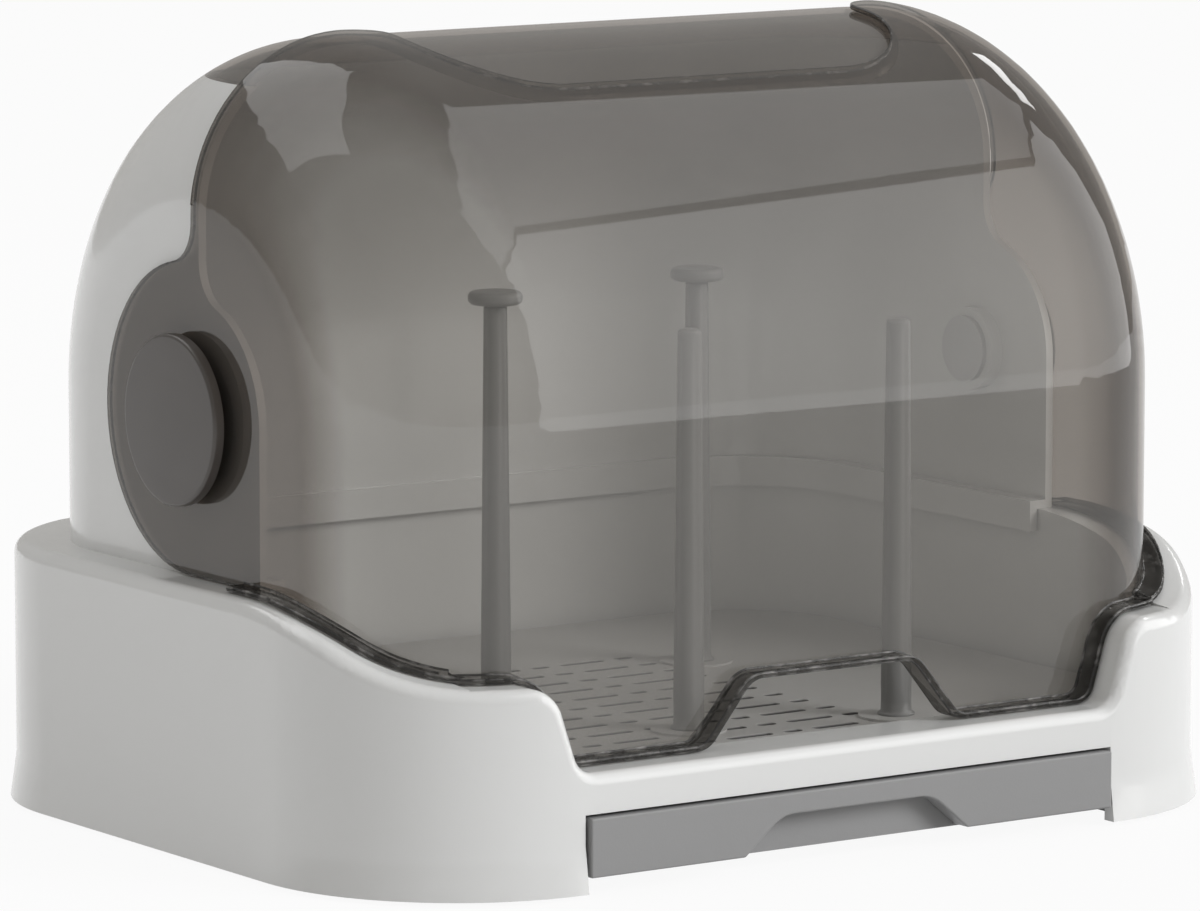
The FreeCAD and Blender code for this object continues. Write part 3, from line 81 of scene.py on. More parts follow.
class RackColours(bpy.types.PropertyGroup):
    white: colour_setting("White", "Glossy housing", (0.77, 0.775, 0.77))
    # Darker than the housing white: the deck's colour holds painted shade from the rack above it
    shaded_inner_white: colour_setting("Inner white", "Drip deck under the rack", (0.36, 0.362, 0.36))
    inner_grey: colour_setting("Inner grey", "Floor plate and hinge inserts", (0.24, 0.24, 0.245))
    drawer: colour_setting("Drawer grey", "Drawer and its front", (0.285, 0.285, 0.287))
    rack: colour_setting("Rack grey", "Slotted rack", (0.47, 0.465, 0.455))
    peg: colour_setting("Peg grey", "Pegs and their heads", (0.215, 0.215, 0.211))
    smoke: colour_setting("Smoke", "Let through by a face, square on", (0.82, 0.81, 0.795))
    smoke_slant: colour_setting("Slanted smoke", "Let through at a slant", (0.455, 0.42, 0.39))
    smoke_light: colour_setting("Smoke for light", "Let in by the front", (0.935, 0.93, 0.922))
    smoke_deep: colour_setting("Flange smoke", "Let through by the flange", (0.54, 0.53, 0.515))
    smoke_body: colour_setting("Smoke haze", "Haze of the smoked plastic", (0.55, 0.535, 0.51))
    smoke_edge: colour_setting("Smoke edge", "Edges of the smoked plastic", (0.03, 0.029, 0.028))
    disc: colour_setting("Hinge disc", "Satin hinge caps", (0.084, 0.075, 0.069))
    rubber: colour_setting("Rubber", "Foot pads", (0.06, 0.06, 0.062))
    steel: colour_setting("Steel", "Screws and washers", (0.6, 0.6, 0.6))


class LidShape(bpy.types.PropertyGroup):
    flange: length_setting("Flange", "How far the flange stands out from the wall", 0.0075)
    corner: length_setting("Corner", "Radius of the wall's corners in plan", 0.06)
    sheet: length_setting("Sheet", "Thickest sheet that counts as a wall", 0.0032)
    shade: length_setting("Shade", "How far ahead of the hinge more light comes in", 0.045)


class EdgeSizes(bpy.types.PropertyGroup):
    housing: length_setting("Housing edge", "Edge rounding on the white housing", 0.0006)
    sheet: length_setting("Smoked edge", "Edge rounding on the smoked lid", 0.0006)
    rack: length_setting("Rack edge", "Edge rounding on the rack and its slots", 0.0004)
    drawer: length_setting("Drawer edge", "Edge rounding on the drawer", 0.0007)
    metal: length_setting("Metal edge", "Edge rounding on screws and washers", 0.00015)


class PegShape(bpy.types.PropertyGroup):
    foot: length_setting("Foot", "Radius at the foot", 0.0053)
    head: length_setting("Head", "Radius at the top", 0.0041)
    collar: length_setting("Collar", "Radius of the collar", 0.0064)
    collar_height: length_setting("Collar height", "Height of the collar", 0.001)
    boss: length_setting("Boss", "How far the rack is raised around a peg", 0.0008)
    flute: length_setting("Flute depth", "Depth of the flutes along the peg", 0.00045)
    flutes: bpy.props.IntProperty(
        name="Flutes", description="Flutes around a peg", default=4, min=0, max=16
    )


class StudioSettings(bpy.types.PropertyGroup):
    turn: bpy.props.FloatProperty(
        name="Camera turn", description="Camera's angle to the left of the front",
        default=math.radians(34.65), subtype="ANGLE", unit="ROTATION",
    )
    rise: bpy.props.FloatProperty(
        name="Camera rise", description="Camera's angle above the horizon",
        default=math.radians(8.12), subtype="ANGLE", unit="ROTATION",
    )
    distance: length_setting("Camera distance", "From the camera to the point it looks at", 2.5483)
    target: bpy.props.FloatVectorProperty(
        name="Camera target", description="Point that the camera looks at",
        default=(0.000386, 0.003, 0.119), subtype="TRANSLATION", unit="LENGTH",
    )
    lens: bpy.props.FloatProperty(
        name="Lens", description="Focal length in millimetres", default=219.7, min=1.0
    )
    key: power_setting("Key light", "Strength of the soft key light", 1.84)
    panel: power_setting("Side panel", "Power of the front right panel in watts", 38.0)
    rear: power_setting("Rear panel", "Power of the panel above the rear left in watts", 8.5)
    ceiling: power_setting("Ceiling panel", "Power of the panel above that one in watts", 12.5)
    glint: power_setting("Glint lamp", "Power of the small lamp in watts", 1.8)
    room: power_setting("Room light", "Strength of the room's own light", 0.42)
    floor: colour_setting("Floor", "Pale floor", (0.72, 0.72, 0.72))


# Node trees


class Signal:
    """A node's output. Arithmetic on it adds Math nodes."""

    def __init__(self, recipe, socket):
        self.recipe = recipe
        self.socket = socket

    def _math(self, operation, *values):
        return self.recipe.add("ShaderNodeMath", {"operation": operation}, dict(enumerate(values)))

    def __add__(self, other):
        return self._math("ADD", self, other)

    __radd__ = __add__

    def __sub__(self, other):
        return self._math("SUBTRACT", self, other)

    def __rsub__(self, other):
        return self._math("SUBTRACT", other, self)

    def __mul__(self, other):
        return self._math("MULTIPLY", self, other)

    __rmul__ = __mul__

    def at_most(self, other):
        return self._math("MINIMUM", self, other)


class Recipe:
    """The node tree of one finish, or of the room."""

    def __init__(self, owner):
        owner.use_nodes = True
        self.owner = owner
        self.tree = owner.node_tree
        self.tree.nodes.clear()

    def add(self, kind, settings=None, sockets=None, output=0):
        """Adds a node with its settings and its sockets' values or links. Returns an output."""
        node = self.tree.nodes.new(kind)
        for name, value in (settings or {}).items():
            if name == "stops":
                ramp = node.color_ramp.elements
                for element, (position, tone) in zip(ramp, value):
                    element.position = position
                    element.color = (tone, tone, tone, 1.0)
            else:
                setattr(node, name, value)
        for key, value in (sockets or {}).items():
            socket = node.inputs[key]
            if isinstance(value, Signal):
                self.tree.links.new(value.socket, socket)
            elif socket.type == "RGBA" and len(value) == 3:
                socket.default_value = (*value, 1.0)
            else:
                socket.default_value = value
        return Signal(self, node.outputs[output]) if node.outputs else None

    def place(self):
        return self.add("ShaderNodeTexCoord", output="Object")

    def noise(self, scale, detail=2.0, stretch=(1.0, 1.0, 1.0)):
        """Noise from 0 to 1, with scale in features per metre."""
        spread = self.add(
            "ShaderNodeVectorMath", {"operation": "MULTIPLY"}, {0: self.place(), 1: stretch}
        )
        return self.add(
            "ShaderNodeTexNoise", None, {"Vector": spread, "Scale": scale, "Detail": detail}
        )

    def ramp(self, signal, *stops):
        return self.add("ShaderNodeValToRGB", {"stops": stops}, {"Fac": signal})

    def blend(self, factor, first, second):
        return self.add(
            "ShaderNodeMix", {"data_type": "RGBA"}, {0: factor, 6: first, 7: second}, output=2
        )

    def bump(self, height, distance, strength=1.0):
        return self.add(
            "ShaderNodeBump", None, {"Height": height, "Distance": distance, "Strength": strength}
        )

    def surface(self, shader):
        self.add("ShaderNodeOutputMaterial", None, {"Surface": shader})


def scaled(colour, factor):
    return tuple(min(1.0, part * factor) for part in colour)


def finish(name, build):
    """Makes a finish once and keeps it by name."""
    if name not in FINISHES:
        material = bpy.data.materials.new(name)
        build(Recipe(material))
        FINISHES[name] = material
    return FINISHES[name]


# Painted shade in a rack's slots: the tone of a slot's walls, as a share of the deck's
SLOT_PAINTED_SHADE = 0.22
# Sink marks in the moulded plastic: features per metre, and their depth
SINK_SCALE, SINK_DEPTH = 16.0, 0.00006
# Facing values between which smoke goes from its tint square on to its tint at a slant
SQUARE_ON, AT_A_SLANT = 0.19, 0.46
# Most of the light that a smoked face mirrors
MOST_SHINE = 0.6


def moulded(recipe, colour, rough, spread, grain_scale, grain_depth,
            coat=0.0, cloud=0.03, deck=None):
    """Moulded plastic: cloudy tone, uneven sheen, fine grain and a hint of sink marks.

    Below the height of a deck, if one is given, the plastic is darkened with painted shade, as in
    the slots of a rack.
    """
    drift = recipe.noise(7.0, 3.0)
    speck = recipe.noise(grain_scale, 2.0)
    rub = recipe.ramp(recipe.noise(38.0, 5.0, (1.0, 1.0, 0.35)), (0.42, 0.0), (0.72, 1.0))
    base = recipe.blend(drift, scaled(colour, 1.0 - cloud), scaled(colour, 1.0 + cloud))
    if deck is not None:
        height = recipe.add("ShaderNodeSeparateXYZ", None, {0: recipe.place()}, output="Z")
        # Painted shade: darkest from 0.6 mm under the deck, and none from 0.1 mm under it
        free_of_painted_shade = recipe.ramp((height - deck) * 500.0 + 1.0, (0.7, 0.0), (0.95, 1.0))
        base = recipe.blend(free_of_painted_shade, scaled(colour, SLOT_PAINTED_SHADE), base)
    sheen = rough + (speck - 0.5) * spread + rub * (spread * 0.6)
    height = speck * grain_depth + recipe.noise(SINK_SCALE, 1.0) * SINK_DEPTH
    recipe.surface(recipe.add("ShaderNodeBsdfPrincipled", None, {
        "Base Color": base, "Roughness": sheen, "Normal": recipe.bump(height, 1.0, 0.6),
        "Coat Weight": coat, "Coat Roughness": 0.06, "Specular IOR Level": 0.5,
    }))


def smoked(recipe, clear, slant, bright, shade, haze_colour, haze, rough, gloss):
    """Smoked clear plastic: deeper at a slant, glossy, with a little haze of its own.

    Ahead of the shade line it lets lamps in as bright plastic would, so the inside isn't dark.
    """
    ripple = recipe.bump(recipe.noise(9.0, 0.0), 0.00022, 0.4)
    milk = recipe.ramp(recipe.noise(12.0, 1.0), (0.3, haze * 0.85), (0.7, haze * 1.15))
    facing = recipe.add("ShaderNodeLayerWeight", None, {"Blend": 0.5}, output="Facing")
    square, deep, airy = (
        recipe.add("ShaderNodeBsdfTransparent", None, {"Color": tint})
        for tint in (clear, slant, bright)
    )
    tinted = recipe.add("ShaderNodeMixShader", None, {
        0: recipe.ramp(facing, (SQUARE_ON, 0.0), (AT_A_SLANT, 1.0)), 1: square, 2: deep,
    })
    ahead = recipe.add("ShaderNodeSeparateXYZ", None, {0: recipe.place()}, output="Y")
    # The ramp's input is 0 at 50 mm behind the hinge and 1 at 50 mm ahead of it
    border = 0.5 + shade * 10.0
    lit = recipe.ramp(0.5 - ahead * 10.0, (border - 0.05, 0.0), (border + 0.05, 1.0))
    aside = 1.0 - recipe.add("ShaderNodeLightPath", output="Is Camera Ray")
    through = recipe.add("ShaderNodeMixShader", None, {0: lit * aside, 1: tinted, 2: airy})
    body = recipe.add("ShaderNodeBsdfPrincipled", None, {
        "Base Color": haze_colour, "Roughness": 0.45, "Specular IOR Level": 0.2,
    })
    inside = recipe.add("ShaderNodeMixShader", None, {0: milk, 1: through, 2: body})
    shine = recipe.add("ShaderNodeFresnel", None, {"IOR": 1.5, "Normal": ripple})
    outward = 1.0 - recipe.add("ShaderNodeNewGeometry", output="Backfacing")
    mirror = recipe.add("ShaderNodeBsdfGlossy", None, {
        "Color": (1.0, 1.0, 1.0), "Roughness": rough, "Normal": ripple,
    })
    recipe.surface(recipe.add("ShaderNodeMixShader", None, {
        0: (shine * outward * gloss).at_most(MOST_SHINE), 1: inside, 2: mirror,
    }))


def wavy_smoke(recipe, deep, colour, rough, solid):
    """Thick smoked edges and flanges: darker, glossy and slightly wavy, with painted highlights as
    lighter patches.
    """
    wave = recipe.bump(recipe.noise(80.0, 3.0), 0.002, 0.8)
    # Patches where the base colour is seven times lighter are painted highlights; they are also
    # rougher and less see-through
    painted_glint_patch = recipe.ramp(recipe.noise(190.0, 3.0), (0.48, 0.0), (0.72, 1.0))
    through = recipe.add("ShaderNodeBsdfTransparent", None, {"Color": deep})
    body = recipe.add("ShaderNodeBsdfPrincipled", None, {
        "Base Color": recipe.blend(painted_glint_patch, colour, scaled(colour, 7.0)),
        "Roughness": rough + painted_glint_patch * 0.08, "Normal": wave,
    })
    recipe.surface(recipe.add("ShaderNodeMixShader", None, {
        0: solid + painted_glint_patch * 0.15, 1: through, 2: body,
    }))


def solid_smoke(recipe, colour, rough, grain_depth):
    """Smoked plastic that is too thick to see through."""
    speck = recipe.noise(900.0, 2.0)
    base = recipe.blend(recipe.noise(40.0, 3.0), scaled(colour, 0.9), scaled(colour, 1.1))
    recipe.surface(recipe.add("ShaderNodeBsdfPrincipled", None, {
        "Base Color": base, "Roughness": rough + (speck - 0.5) * 0.08,
        "Normal": recipe.bump(speck, grain_depth, 0.5),
    }))


def rubbed_rubber(recipe, colour):
    speck = recipe.noise(700.0, 4.0)
    scuff = recipe.ramp(recipe.noise(90.0, 5.0), (0.5, 0.0), (0.75, 1.0))
    base = recipe.blend(scuff, colour, scaled(colour, 1.9))
    recipe.surface(recipe.add("ShaderNodeBsdfPrincipled", None, {
        "Base Color": base, "Roughness": 0.72 + (speck - 0.5) * 0.2,
        "Normal": recipe.bump(speck, 0.00012, 0.7),
    }))


def turned_steel(recipe, colour):
    lines = recipe.noise(300.0, 3.0, (1.0, 1.0, 6.0))
    base = recipe.blend(lines, scaled(colour, 0.88), scaled(colour, 1.06))
    recipe.surface(recipe.add("ShaderNodeBsdfPrincipled", None, {
        "Base Color": base, "Metallic": 1.0, "Roughness": 0.28 + lines * 0.16,
        "Normal": recipe.bump(lines, 0.00004, 0.5),
    }))


# Dressing of the carried-over nodes

# Places of the rim's and the flange's finish among the lid's finishes
EDGE_SLOT, FLANGE_SLOT = 1, 2


def soften(piece, width, steps, angle, edge_slot):
    """Joins the faces of a node and rounds its sharp edges, or parts them for clean shading."""
    if "custom_normal" in piece.data.attributes:
        piece.data.attributes.remove(piece.data.attributes["custom_normal"])
    for face in piece.data.polygons:
        face.use_smooth = True
    weld = piece.modifiers.new("Join faces", "WELD")
    weld.merge_threshold = 0.000002
    if width > 0.0:
        bevel = piece.modifiers.new("Soft edges", "BEVEL")
        bevel.width = width
        bevel.segments = steps
        bevel.limit_method = "ANGLE"
        bevel.angle_limit = math.radians(angle)
        # A rim with its own finish keeps its width where the faces beside it are narrow
        bevel.use_clamp_overlap = edge_slot < 0
        bevel.loop_slide = False
        bevel.material = edge_slot
        even = piece.modifiers.new("Even shading", "WEIGHTED_NORMAL")
        even.weight = 80
        even.keep_sharp = False
    else:
        split = piece.modifiers.new("Crisp edges", "EDGE_SPLIT")
        split.split_angle = math.radians(angle)


def dress(name, material, width=0.0, steps=2, angle=32.0, edge_material=None):
    """Gives a CAD node its finish and its soft edges."""
    piece = NODES[name]
    piece.data.materials.clear()
    piece.data.materials.append(material)
    if edge_material:
        piece.data.materials.append(edge_material)
    soften(piece, width, steps, angle, EDGE_SLOT if edge_material else -1)


def rim_faces(piece, shape):
    """Gives the flange's finish to faces that end a sheet or stand out beyond the lid's wall."""
    inset, slack = 0.00002, 0.0004
    mesh = piece.data
    tree = BVHTree.FromPolygons([v.co for v in mesh.vertices], [p.vertices for p in mesh.polygons])
    low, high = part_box("lid")
    side, front = high.x - shape.flange - shape.corner, low.y + shape.flange + shape.corner
    for face in mesh.polygons:
        start = face.center - face.normal * inset
        reach = tree.ray_cast(start, -face.normal)[3]
        place = piece.matrix_world @ face.center
        across, ahead = abs(place.x) - side, front - place.y
        beyond = math.hypot(max(across, 0.0), max(ahead, 0.0)) > shape.corner + slack
        if beyond or reach is None or reach > shape.sheet:
            face.material_index = FLANGE_SLOT


def new_piece(name, mesh, material, body):
    """Puts a finished bmesh into the scene as a piece that rides on a body."""
    data = bpy.data.meshes.new(name)
    mesh.to_mesh(data)
    mesh.free()
    for face in data.polygons:
        face.use_smooth = True
    data.materials.append(material)
    piece = bpy.data.objects.new(name, data)
    bpy.context.scene.collection.objects.link(piece)
    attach(piece, body)
    return piece


def lathe(centre, rings, sides):
    """A closed turned form. A ring is a height and a function from an angle to a radius."""
    mesh = bmesh.new()
    loops = []
    for height, radius in rings:
        loop = []
        for step in range(sides):
            turn = 2.0 * math.pi * step / sides
            reach = radius(turn)
            loop.append(mesh.verts.new((
                centre[0] + reach * math.cos(turn), centre[1] + reach * math.sin(turn), height
            )))
        loops.append(loop)
    for low, high in zip(loops, loops[1:]):
        for step in range(sides):
            after = (step + 1) % sides
            mesh.faces.new((low[step], low[after], high[after], high[step]))
    mesh.faces.new(list(reversed(loops[0])))
    mesh.faces.new(loops[-1])
    return mesh


# One operator for each piece or group of like pieces


def white_gloss(recipe):
    colours = bpy.context.scene.rack_colours
    moulded(recipe, colours.white, 0.2, 0.07, 1400.0, 0.000012, coat=0.5, cloud=0.012)


def inner_grey(recipe):
    colours = bpy.context.scene.rack_colours
    moulded(recipe, colours.inner_grey, 0.55, 0.1, 1100.0, 0.00003)


class RACK_OT_dress_tub(bpy.types.Operator):
    """White base tub with its floor plate, foot pads and screws"""

    bl_idname = "rack.dress_tub"
    bl_label = "Dress the base tub"

    def execute(self, context):
        colours, edges = context.scene.rack_colours, context.scene.rack_edges
        white = finish("white gloss plastic", white_gloss)
        grey = finish("grey inner plastic", inner_grey)
        rubber = finish("foot rubber", lambda r: rubbed_rubber(r, colours.rubber))
        steel = finish("zinc steel", lambda r: turned_steel(r, colours.steel))
        dress("base_tub", white, edges.housing)
        dress("base_floor", grey)
        dress("floor_screws", steel, edges.metal)
        for corner in ("front_left", "front_right", "rear_left", "rear_right"):
            dress("foot_pad_" + corner, rubber, edges.housing)
        return {"FINISHED"}


class RACK_OT_dress_deck(bpy.types.Operator):
    """Drip deck that leads the water to the drawer"""

    bl_idname = "rack.dress_deck"
    bl_label = "Dress the drip deck"

    def execute(self, context):
        colours, edges = context.scene.rack_colours, context.scene.rack_edges
        # The deck's colour is darkened with painted shade from the rack over it
        deck = finish("satin inner plastic", lambda r: moulded(
            r, colours.shaded_inner_white, 0.42, 0.1, 1100.0, 0.00003))
        dress("drip_deck", deck, edges.rack)
        return {"FINISHED"}


class RACK_OT_dress_drawer(bpy.types.Operator):
    """Grey drip drawer with its finger notch"""

    bl_idname = "rack.dress_drawer"
    bl_label = "Dress the drawer"

    def execute(self, context):
        colours, edges = context.scene.rack_colours, context.scene.rack_edges
        grey = finish("drawer plastic", lambda r: moulded(
            r, colours.drawer, 0.5, 0.12, 1600.0, 0.00004))
        dress("drawer_front", grey, edges.drawer, 3)
        dress("drawer_tray", grey, edges.rack)
        return {"FINISHED"}


class RACK_OT_dress_rack(bpy.types.Operator):
    """Slotted drain rack"""

    bl_idname = "rack.dress_rack"
    bl_label = "Dress the drain rack"

    def execute(self, context):
        colours, edges = context.scene.rack_colours, context.scene.rack_edges
        top = max(corner.co.z for corner in NODES["drain_rack"].data.vertices)
        deck = top - context.scene.rack_pegs.boss
        # Under this deck height the walls of the rack's slots get painted shade
        grey = finish("rack plastic", lambda r: moulded(
            r, colours.rack, 0.36, 0.1, 1300.0, 0.00003, deck=deck))
        dress("drain_rack", grey, edges.rack)
        return {"FINISHED"}


class RACK_OT_make_pegs(bpy.types.Operator):
    """Fluted pegs, and the mushroom heads of the rear two"""

    bl_idname = "rack.make_pegs"
    bl_label = "Make the pegs"

    def execute(self, context):
        colours, shape = context.scene.rack_colours, context.scene.rack_pegs
        grey = finish("peg plastic", lambda r: moulded(
            r, colours.peg, 0.34, 0.1, 1300.0, 0.00002))
        for corner in ("front_left", "front_right", "rear_left", "rear_right"):
            self.make_peg(corner, shape, grey)
        for corner in ("rear_left", "rear_right"):
            dress("peg_head_" + corner, grey)
        return {"FINISHED"}

    def make_peg(self, corner, shape, grey):
        low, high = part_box("peg_" + corner)
        centre = (low + high) / 2.0
        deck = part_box("drain_rack")[1].z
        top = high.z
        spigot, bead, sides = 0.0036, 0.0005, 64

        def plain(radius):
            return lambda turn: radius

        def fluted(radius, share):
            depth = shape.flute * share
            return lambda turn: radius - depth * (0.5 + 0.5 * math.cos(shape.flutes * turn)) ** 3

        foot = deck + shape.collar_height
        rings = [
            (low.z, plain(spigot)),
            (deck, plain(spigot)),
            (deck, plain(shape.collar)),
            (foot - bead, plain(shape.collar)),
            (foot - bead * 0.3, plain(shape.collar - bead * 0.3)),
            (foot, plain(shape.collar - bead)),
            (foot, plain(shape.foot + 0.0006)),
            (foot + 0.0006, plain(shape.foot)),
            (foot + 0.004, plain(shape.foot - 0.0001)),
            (foot + 0.007, fluted(shape.foot - 0.0001, 0.7)),
        ]
        start = foot + 0.010
        span = top - 0.0012 - start
        for step in range(9):
            share = step / 8.0
            radius = shape.foot + (shape.head - shape.foot) * share
            rings.append((start + (span - 0.004) * share, fluted(radius, 1.0)))
        rings.append((top - 0.0030, fluted(shape.head, 0.5)))
        rings.append((top - 0.0012, plain(shape.head)))
        rings.append((top - 0.0005, plain(shape.head - 0.00035)))
        rings.append((top, plain(shape.head - 0.0012)))
        form = lathe(centre, rings, sides)
        peg = new_piece("fluted_peg_" + corner, form, grey, "rack")
        split = peg.modifiers.new("Crisp edges", "EDGE_SPLIT")
        split.split_angle = math.radians(50.0)
        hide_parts("peg_" + corner)


class RACK_OT_dress_shell(bpy.types.Operator):
    """White rear shell"""

    bl_idname = "rack.dress_shell"
    bl_label = "Dress the rear shell"

    def execute(self, context):
        white = finish("white gloss plastic", white_gloss)
        dress("back_shell", white, context.scene.rack_edges.housing)
        return {"FINISHED"}


class RACK_OT_dress_lid(bpy.types.Operator):
    """Smoked lid and the smoked cap over the rear of the roof"""

    bl_idname = "rack.dress_lid"
    bl_label = "Dress the lid and cap"

    def execute(self, context):
        colours, edges = context.scene.rack_colours, context.scene.rack_edges
        shape = context.scene.rack_lid
        tints = (colours.smoke, colours.smoke_slant, colours.smoke_light, shape.shade,
                 colours.smoke_body)
        clear = finish("smoked clear plastic", lambda r: smoked(r, *tints, 0.065, 0.03, 0.9))
        cap = finish("smoked cap plastic", lambda r: smoked(r, *tints, 0.13, 0.05, 1.0))
        deep = (colours.smoke_deep, colours.smoke_edge)
        rim = finish("smoked rim", lambda r: wavy_smoke(r, *deep, 0.06, 0.92))
        flange = finish("smoked flange", lambda r: wavy_smoke(r, *deep, 0.05, 0.22))
        dress("lid", clear, edges.sheet, 2, 40.0, rim)
        NODES["lid"].data.materials.append(flange)
        rim_faces(NODES["lid"], shape)
        dress("top_cap", cap, edges.rack)
        return {"FINISHED"}


class RACK_OT_dress_hinges(bpy.types.Operator):
    """Hinge discs, shafts, washers and screws on both sides"""

    bl_idname = "rack.dress_hinges"
    bl_label = "Dress the hinges"

    def execute(self, context):
        colours, edges = context.scene.rack_colours, context.scene.rack_edges
        disc = finish("hinge disc plastic", lambda r: solid_smoke(
            r, colours.disc, 0.3, 0.00002))
        grey = finish("grey inner plastic", inner_grey)
        steel = finish("zinc steel", lambda r: turned_steel(r, colours.steel))
        for side in ("left", "right"):
            dress("hinge_disc_" + side, disc)
            dress("hinge_shaft_" + side, grey, edges.metal)
            dress("hinge_washer_" + side, grey, edges.metal)
            dress("hinge_screw_" + side, steel, edges.metal)
        return {"FINISHED"}


# Share of the floor that looks white to the camera, whatever falls on it
FLOOR_GLOW = 0.93
# Colours of the room's own light from its sides and from above
WALLS, CEILING = (1.0, 0.97, 0.925), (0.94, 0.925, 0.9)
# The way the key light shines
KEY_WAY = (-0.48, 0.73, -0.485)
# A lamp that hangs higher than this leans down to it, and a lower one is level
AIM_HEIGHT = 1.1


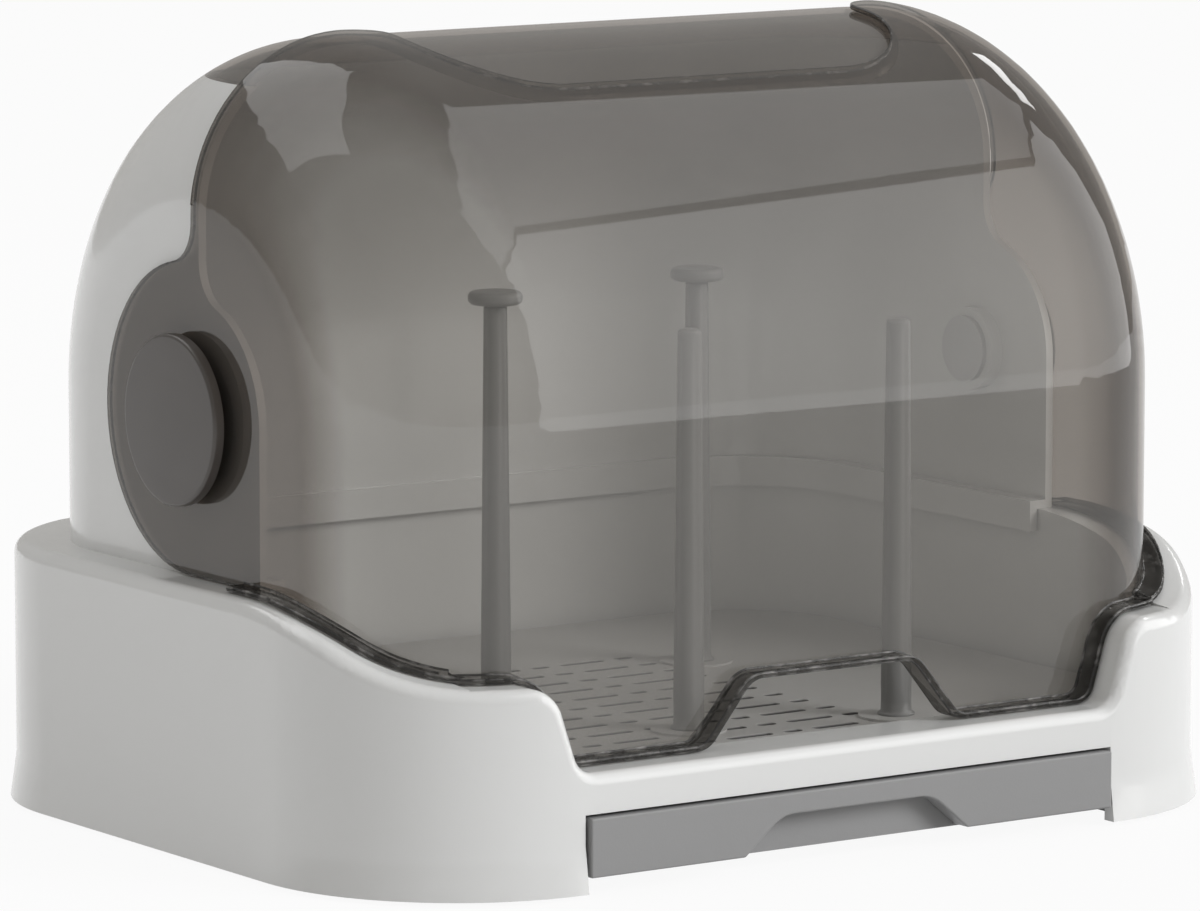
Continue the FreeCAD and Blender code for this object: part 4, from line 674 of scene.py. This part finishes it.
class RACK_OT_set_stage(bpy.types.Operator):
    """Pale floor, soft studio light and the camera"""

    bl_idname = "rack.set_stage"
    bl_label = "Set the stage"

    def execute(self, context):
        studio = context.scene.rack_studio
        context.scene.view_settings.view_transform = "Standard"
        self.lay_floor(studio)
        self.light_room(context.scene, studio)
        self.hang_key(studio.key)
        self.hang_lamp("side panel", studio.panel, (1.70, -1.06, 1.1), (2.8, 2.2), False)
        self.hang_lamp("rear panel", studio.rear, (-0.55, 0.95, 1.75), (1.7, 1.1))
        self.hang_lamp("ceiling panel", studio.ceiling, (1.10, -0.69, 2.45), (2.8, 1.2), False)
        self.hang_lamp("glint lamp", studio.glint, (1.58, 0.57, 1.33), (0.5, 0.2))
        self.place_camera(context.scene, studio)
        return {"FINISHED"}

    def lay_floor(self, studio):
        mesh = bmesh.new()
        bmesh.ops.create_grid(mesh, x_segments=8, y_segments=8, size=14.0)
        data = bpy.data.meshes.new("floor")
        mesh.to_mesh(data)
        mesh.free()
        floor = bpy.data.objects.new("floor", data)
        bpy.context.scene.collection.objects.link(floor)
        data.materials.append(finish("pale floor", lambda r: self.pale(r, studio.floor)))

    def pale(self, recipe, colour):
        drift = recipe.noise(3.0, 3.0)
        matt = recipe.add("ShaderNodeBsdfPrincipled", None, {
            "Base Color": recipe.blend(drift, scaled(colour, 0.99), scaled(colour, 1.01)),
            "Roughness": 0.9, "Specular IOR Level": 0.0,
        })
        glow = recipe.add("ShaderNodeEmission", None, {"Color": (1.0, 1.0, 1.0), "Strength": 1.0})
        recipe.surface(recipe.add("ShaderNodeMixShader", None, {
            0: self.seen(recipe) * FLOOR_GLOW, 1: matt, 2: glow,
        }))

    def seen(self, recipe):
        """1 for rays from the camera, also by way of gloss or glass."""
        camera = recipe.add("ShaderNodeLightPath", output="Is Camera Ray")
        gloss = recipe.add("ShaderNodeLightPath", output="Is Glossy Ray")
        glass = recipe.add("ShaderNodeLightPath", output="Is Transmission Ray")
        return (camera + gloss + glass).at_most(1.0)

    def light_room(self, scene, studio):
        world = bpy.data.worlds.new("studio")
        scene.world = world
        recipe = Recipe(world)
        way = recipe.add("ShaderNodeTexCoord", output="Generated")
        up = recipe.add("ShaderNodeSeparateXYZ", None, {0: way}, output="Z")
        walls, ceiling = (
            recipe.add("ShaderNodeBackground", None, {"Color": colour, "Strength": studio.room})
            for colour in (WALLS, CEILING)
        )
        light = recipe.add("ShaderNodeMixShader", None, {
            0: recipe.ramp(up, (0.0, 0.0), (0.6, 1.0)), 1: walls, 2: ceiling,
        })
        recipe.add("ShaderNodeOutputWorld", None, {"Surface": light})

    def hang_key(self, strength):
        """A broad far lamp from the front right. Its own mirror image isn't wanted on the gloss."""
        data = bpy.data.lights.new("key light", "SUN")
        data.energy = strength
        data.angle = math.radians(28.0)
        data.color = (0.985, 0.99, 1.0)
        lamp = bpy.data.objects.new("key light", data)
        bpy.context.scene.collection.objects.link(lamp)
        lamp.rotation_euler = Vector(KEY_WAY).to_track_quat("-Z", "Y").to_euler()
        lamp.visible_glossy = False

    def hang_lamp(self, name, power, place, size, lights_matt=True):
        """A soft panel that faces the part. One that only shines on gloss lights nothing matt."""
        data = bpy.data.lights.new(name, "AREA")
        data.shape = "RECTANGLE"
        data.size, data.size_y = size
        data.energy = power
        lamp = bpy.data.objects.new(name, data)
        bpy.context.scene.collection.objects.link(lamp)
        lamp.location = place
        lamp.visible_diffuse = lights_matt
        aim = Vector((0.0, 0.0, min(place[2], AIM_HEIGHT))) - Vector(place)
        lamp.rotation_euler = aim.to_track_quat("-Z", "Y").to_euler()

    def place_camera(self, scene, studio):
        data = bpy.data.cameras.new("photo camera")
        data.sensor_fit = "HORIZONTAL"
        data.sensor_width = 36.0
        data.lens = studio.lens
        data.clip_start = 0.05
        data.clip_end = 60.0
        camera = bpy.data.objects.new("photo camera", data)
        scene.collection.objects.link(camera)
        ahead = Vector((
            math.sin(studio.turn) * math.cos(studio.rise),
            math.cos(studio.turn) * math.cos(studio.rise),
            -math.sin(studio.rise),
        ))
        camera.location = Vector(studio.target) - ahead * studio.distance
        camera.rotation_euler = ahead.to_track_quat("-Z", "Y").to_euler()
        scene.camera = camera


class RACK_PT_looks(bpy.types.Panel):
    """Settings and operators of the drying rack"""

    bl_idname = "RACK_PT_looks"
    bl_label = "Drying Rack"
    bl_space_type = "VIEW_3D"
    bl_region_type = "UI"
    bl_category = "Drying Rack"

    def draw(self, context):
        for operator in OPERATORS:
            self.layout.operator(operator.bl_idname)
        for name in SETTINGS:
            box = self.layout.box()
            group = getattr(context.scene, name)
            for setting in group.__annotations__:
                box.prop(group, setting)


OPERATORS = (
    RACK_OT_dress_tub,
    RACK_OT_dress_deck,
    RACK_OT_dress_drawer,
    RACK_OT_dress_rack,
    RACK_OT_make_pegs,
    RACK_OT_dress_shell,
    RACK_OT_dress_lid,
    RACK_OT_dress_hinges,
    RACK_OT_set_stage,
)
SETTINGS = {
    "rack_colours": RackColours,
    "rack_lid": LidShape,
    "rack_edges": EdgeSizes,
    "rack_pegs": PegShape,
    "rack_studio": StudioSettings,
}


def register():
    for name, group in SETTINGS.items():
        bpy.utils.register_class(group)
        setattr(bpy.types.Scene, name, bpy.props.PointerProperty(type=group))
    for operator in OPERATORS:
        bpy.utils.register_class(operator)
    bpy.utils.register_class(RACK_PT_looks)


def unregister():
    bpy.utils.unregister_class(RACK_PT_looks)
    for operator in reversed(OPERATORS):
        bpy.utils.unregister_class(operator)
    for name, group in SETTINGS.items():
        delattr(bpy.types.Scene, name)
        bpy.utils.unregister_class(group)


def main():
    register()
    for operator in OPERATORS:
        family, action = operator.bl_idname.split(".")
        getattr(getattr(bpy.ops, family), action)()


if __name__ == "__main__":
    main()
